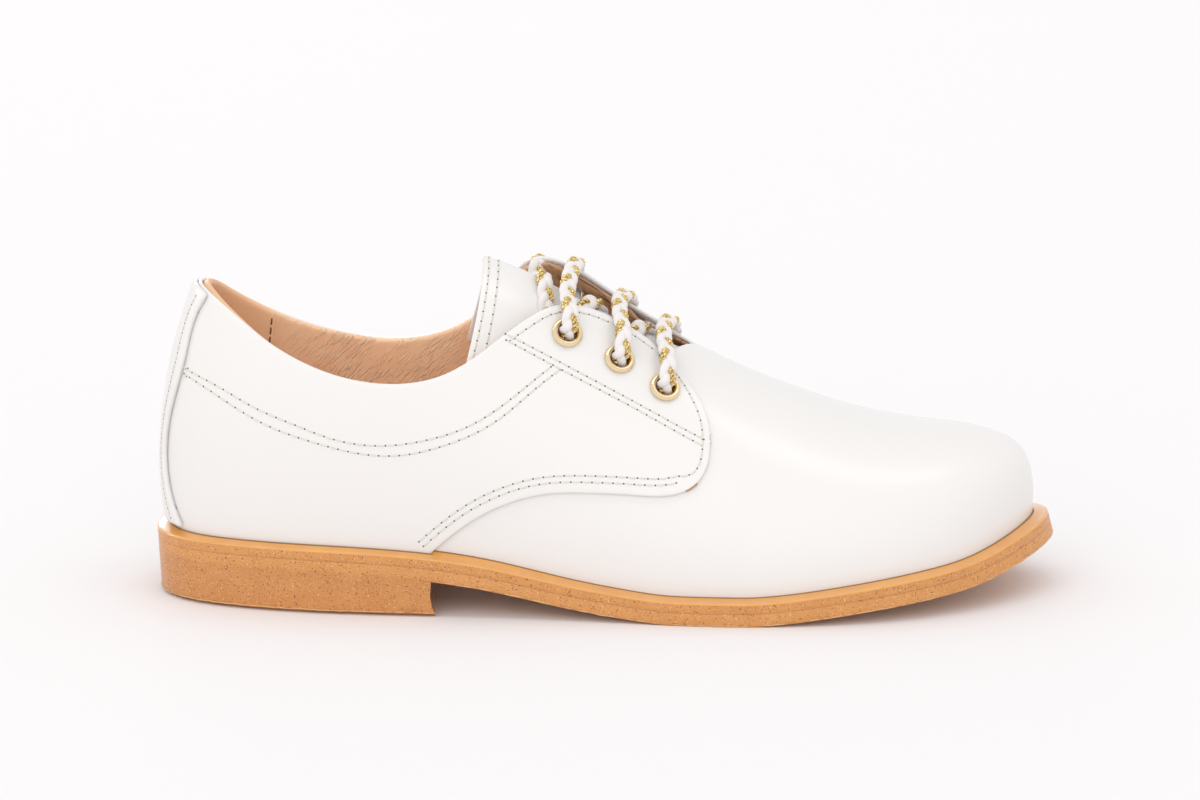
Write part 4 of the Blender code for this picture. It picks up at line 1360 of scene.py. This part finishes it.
class Look:
    """A material under construction: its shader, and textures in the shoe's own sizes."""

    def __init__(self, name, colour, roughness, **settings):
        self.material = bpy.data.materials.new(name)
        self.material.use_nodes = True
        self.tree = self.material.node_tree
        self.shader = self.tree.nodes["Principled BSDF"]
        self.colour = (*colour, 1.0)
        self.shader.inputs["Base Color"].default_value = self.colour
        self.shader.inputs["Roughness"].default_value = roughness
        for socket, value in settings.items():
            self.shader.inputs[socket.replace("_", " ")].default_value = value

    def node(self, kind, **values):
        node = self.tree.nodes.new(kind)
        for name, value in values.items():
            if name in node.inputs:
                node.inputs[name].default_value = value
            else:
                setattr(node, name, value)
        return node

    def link(self, start, end):
        self.tree.links.new(start, end)

    def place(self):
        return self.node("ShaderNodeTexCoord").outputs["Object"]

    def noise(self, size, detail, rough=0.5, stretch=1.0, lean=0.0):
        """A cloudy pattern with features of about size millimetres, drawn out along a leaning line."""
        scale = (size * stretch * MM, size * MM, size * MM)
        turn = (0, -math.radians(lean), 0)
        mapping = self.node("ShaderNodeMapping", vector_type="TEXTURE", Scale=scale, Rotation=turn)
        self.link(self.place(), mapping.inputs["Vector"])
        pattern = self.node("ShaderNodeTexNoise", Scale=1.0, Detail=detail, Roughness=rough)
        self.link(mapping.outputs["Vector"], pattern.inputs["Vector"])
        return pattern.outputs["Fac"]

    def ramp(self, axis, start, end):
        """A pattern that goes from 0 to 1 between two places along an axis, in millimetres."""
        axes = self.node("ShaderNodeSeparateXYZ")
        self.link(self.place(), axes.inputs["Vector"])
        return self.between(axes.outputs[axis], start * MM, end * MM)

    def product(self, one, other):
        times = self.node("ShaderNodeMath", operation="MULTIPLY")
        self.link(one, times.inputs[0])
        self.link(other, times.inputs[1])
        return times.outputs["Value"]

    def cells(self, size):
        """A pattern of cells about size millimetres across, by the distance to their edges."""
        pattern = self.node("ShaderNodeTexVoronoi", feature="DISTANCE_TO_EDGE", Scale=1 / (size * MM))
        self.link(self.place(), pattern.inputs["Vector"])
        return pattern.outputs["Distance"]

    def between(self, pattern, low, high):
        """A pattern cut down to the range from low to high, as 0 to 1."""
        ramp = self.node("ShaderNodeMapRange", **{"From Min": low, "From Max": high})
        self.link(pattern, ramp.inputs["Value"])
        return ramp.outputs["Result"]

    def tint(self, share, colour):
        """Mixes a colour into what the shader has, by a pattern."""
        mix = self.node("ShaderNodeMixRGB", Color1=self.colour, Color2=(*colour, 1.0))
        base = self.shader.inputs["Base Color"]
        if base.is_linked:
            self.link(base.links[0].from_socket, mix.inputs["Color1"])
        self.link(share, mix.inputs["Fac"])
        self.link(mix.outputs["Color"], base)

    def bump(self, pattern, height):
        """Raises the surface by a pattern, height millimetres at most."""
        bump = self.node("ShaderNodeBump", Strength=1.0, Distance=height * MM)
        self.link(pattern, bump.inputs["Height"])
        normal = self.shader.inputs["Normal"]
        if normal.is_linked:
            self.link(normal.links[0].from_socket, bump.inputs["Normal"])
        self.link(bump.outputs["Normal"], normal)

    def vary_roughness(self, pattern, low, high):
        spread = self.node("ShaderNodeMapRange", **{"To Min": low, "To Max": high})
        self.link(pattern, spread.inputs["Value"])
        self.link(spread.outputs["Result"], self.shader.inputs["Roughness"])


def rubber_look(name, colour, pale):
    """Speckled sole rubber between two colours."""
    rubber = Look(name, colour, 0.5, Coat_Weight=0.5, Coat_Roughness=0.25)
    rubber.tint(rubber.between(rubber.noise(5.0, 3.0), 0.35, 0.75), pale)
    rubber.tint(rubber.between(rubber.noise(0.4, 1.0), 0.63, 0.7), (0.16, 0.065, 0.025))
    rubber.tint(rubber.between(rubber.noise(0.33, 1.0), 0.66, 0.74), (0.8, 0.52, 0.28))
    rubber.bump(rubber.noise(0.5, 2.0), 0.02)
    return rubber


def tan_leather_look(name):
    """Plain tan leather with a fine grain."""
    leather = Look(name, (0.93, 0.58, 0.35), 0.5)
    leather.tint(leather.between(leather.noise(9.0, 5.0, rough=0.6), 0.35, 0.7), (0.96, 0.67, 0.44))
    leather.bump(leather.noise(2.4, 4.0, rough=0.6), 0.12)
    leather.bump(leather.cells(0.7), 0.03)
    return leather


def lining_look():
    """Tan leather: fine collar creases with a painted highlight, brown streaks in the facings, painted shade
    there and at the heel.
    """
    lining = tan_leather_look("tan_lining")
    # Painted shade: the lining darkens towards the back of the heel, deep inside the shoe
    lining.tint(lining.ramp("X", *LINING_HEEL_X), (0.76, 0.45, 0.25))
    # Painted shade: the facings' lining is darkened where it lies between facing and tongue; the dark streaks
    # are the leather's own
    facing = lining.product(lining.ramp("X", *LINING_FACING_X), lining.ramp("Z", *LINING_FACING_Z))
    lining.tint(facing, (0.5, 0.28, 0.15))
    streaks = lining.noise(0.8, 3.0, rough=0.6, stretch=14.0, lean=STREAK_LEAN)
    lining.tint(lining.product(facing, lining.between(streaks, 0.45, 0.65)), (0.13, 0.06, 0.03))
    fine = lining.noise(0.5, 3.0, stretch=7.0, lean=CREASE_LEAN)
    groups = lining.noise(7.0, 1.0, stretch=2.0, lean=CREASE_LEAN)
    collar = lining.product(lining.ramp("X", *LINING_COLLAR_BACK_X), lining.ramp("X", *LINING_COLLAR_FRONT_X))
    grouped = lining.product(collar, lining.between(groups, 0.32, 0.55))
    creases_and_highlights = lining.product(lining.between(fine, 0.5, 0.7), grouped)
    lining.bump(creases_and_highlights, 0.3)
    # Painted highlight: the crease pattern also lightens the colour, as if light caught the ridges over the
    # real bump
    lining.tint(creases_and_highlights, (0.98, 0.75, 0.55))
    return lining


def gold_thread_look():
    """Gold thread with a fine glitter."""
    gold = Look("gold_thread", (0.55, 0.36, 0.1), 0.24, Metallic=1.0)
    gold.tint(gold.between(gold.noise(0.35, 2.0), 0.42, 0.62), (0.95, 0.8, 0.42))
    gold.bump(gold.noise(0.3, 1.0), 0.08)
    return gold


def make_looks():
    """Each look's material with the record's slot that it belongs to."""
    leather = Look("white_patent", (0.77, 0.747, 0.73), 0.32, Coat_Weight=0.7, Coat_Roughness=0.27)
    leather.bump(leather.noise(16.0, 2.0), 0.12)
    leather.bump(leather.noise(0.9, 2.0), 0.005)
    welt = Look("tan_welt", (0.7, 0.305, 0.06), 0.35, Coat_Weight=1.0, Coat_IOR=1.5, Coat_Roughness=0.12)
    welt.tint(welt.between(welt.noise(6.0, 3.0), 0.35, 0.75), (0.75, 0.35, 0.075))
    gold = Look("gold_metal", (0.88, 0.69, 0.44), 0.16, Metallic=1.0)
    gold.vary_roughness(gold.noise(1.2, 2.0), 0.1, 0.24)
    lace = Look("lace_cord", (0.78, 0.74, 0.73), 0.85, Sheen_Weight=0.3)
    lace.bump(lace.noise(0.3, 2.0), 0.06)
    thread = Look("stitch_thread", (0.68, 0.67, 0.6), 0.7)
    raw_grey = Look("raw_edge", (0.6, 0.59, 0.6), 0.9)
    raw_grey.bump(raw_grey.noise(0.4, 2.0), 0.1)
    looks = {
        "leather": (leather, "white_patent"),
        "lining": (lining_look(), "tan_lining"),
        "sock": (tan_leather_look("tan_sock"), "tan_lining"),
        "welt": (welt, "tan_welt"),
        "sole": (rubber_look("tan_sole", (0.585, 0.245, 0.058), (0.635, 0.28, 0.073)), "tan_sole"),
        "heel": (rubber_look("tan_heel", (0.535, 0.212, 0.052), (0.585, 0.246, 0.064)), "tan_sole"),
        # Partly the sole's ragged fuzz, partly a painted highlight where the lower edge catches light from
        # the floor
        "fray": (Look("sole_fray_highlight", (0.7, 0.42, 0.2), 0.8), "tan_sole"),
        "gold": (gold, "gold_metal"),
        "gold_thread": (gold_thread_look(), "gold_metal"),
        "lace": (lace, "lace_cord"),
        "thread": (thread, "white_patent"),
        # Painted shade: dark plugs in the needle holes on the white leather stand for the shade inside them
        "hole": (Look("stitch_hole_shade", (0.14, 0.13, 0.1), 0.9), "white_patent"),
        "seam": (Look("seam", (0.13, 0.075, 0.045), 0.85), "tan_lining"),
        # Painted shade: a dark brown cord stands for the shade in the joint between the upper and the welt
        "welt_seam": (Look("welt_seam", (0.3, 0.17, 0.08), 0.85), "tan_welt"),
        "raw_grey": (raw_grey, "white_patent"),
        "raw_tan": (Look("raw_tan", (0.45, 0.26, 0.13), 0.9), "tan_lining"),
    }
    return {name: (look.material, slot) for name, (look, slot) in looks.items()}


def make_floor():
    mesh = bpy.data.meshes.new("floor")
    corners = [(x * FLOOR_HALF, y * FLOOR_HALF, 0) for x, y in ((-1, -1), (1, -1), (1, 1), (-1, 1))]
    mesh.from_pydata(corners, [], [(0, 1, 2, 3)])
    mesh.materials.append(Look("floor", (0.85, 0.828, 0.835), 0.9).material)
    obj = add_object("floor", mesh)


def place_light(name, light, place):
    """A light that shines from a place towards the shoe."""
    obj = add_object(name, light)
    obj.location = place
    obj.rotation_euler = (Vector(LIGHT_AIM) - Vector(place)).to_track_quat("-Z", "Y").to_euler()
    return obj


def make_sun(name, place, spread, strength):
    """A wide soft light that lights the floor evenly and leaves no image of itself in the gloss."""
    light = bpy.data.lights.new(name, "SUN")
    light.angle = math.radians(spread)
    light.energy = strength
    place_light(name, light, place).visible_glossy = False


def make_softbox(name, place, size, power, lights):
    """A light with sharp sides, which may be seen in the gloss alone."""
    light = bpy.data.lights.new(name, "AREA")
    light.shape = "RECTANGLE"
    light.size, light.size_y = size
    light.energy = power
    place_light(name, light, place).visible_diffuse = lights


def make_world():
    """Soft light from all round, stronger at the sides than above."""
    world = bpy.data.worlds.new("studio")
    world.use_nodes = True
    tree = world.node_tree
    place = tree.nodes.new("ShaderNodeTexCoord")
    axes = tree.nodes.new("ShaderNodeSeparateXYZ")
    ramp = tree.nodes.new("ShaderNodeMapRange")
    ramp.inputs["From Min"].default_value, ramp.inputs["From Max"].default_value = WORLD_HEIGHTS
    ramp.inputs["To Min"].default_value, ramp.inputs["To Max"].default_value = WORLD_STRENGTHS
    tree.links.new(place.outputs["Generated"], axes.inputs["Vector"])
    tree.links.new(axes.outputs["Z"], ramp.inputs["Value"])
    tree.links.new(ramp.outputs["Result"], tree.nodes["Background"].inputs["Strength"])
    tree.nodes["Background"].inputs["Color"].default_value = (1.0, 1.0, 1.0, 1.0)
    bpy.context.scene.world = world


def make_studio():
    """A pale floor under large soft lights, and the camera."""
    make_floor()
    make_world()
    make_sun("sun_front", SUN_PLACE, SUN_SPREAD, SUN_STRENGTH)
    for row in named(SOFTBOX_COLUMNS, SOFTBOXES):
        make_softbox(**row)
    scene = bpy.context.scene
    scene.view_settings.view_transform = "Standard"
    camera = add_object("camera", bpy.data.cameras.new("camera"))
    camera.data.sensor_width = SENSOR
    camera.data.lens = LENS
    camera.location = np.array(CAMERA_PLACE) * MM
    camera.rotation_euler = (math.radians(90 - CAMERA_PITCH), 0, 0)
    scene.camera = camera


def main():
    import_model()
    make_studio()
    looks = make_looks()
    make_laces(looks)
    places = eyelet_places()
    quarters = [make_quarter(side, looks) for side in SIDES]
    for sheet in (*quarters, make_vamp(looks), make_lining(looks)):
        pierce(sheet, places)
    for make in (make_back_strip, make_tongue, make_insole, make_welt, make_outsole, make_heel):
        make(looks)
    for name, centre, axis in places:
        make_eyelet(name, centre, axis, looks)
    for make in (make_stitching, make_raw_edges, make_welt_joint_shade, make_sole_fray_highlight):
        make(looks)


main()
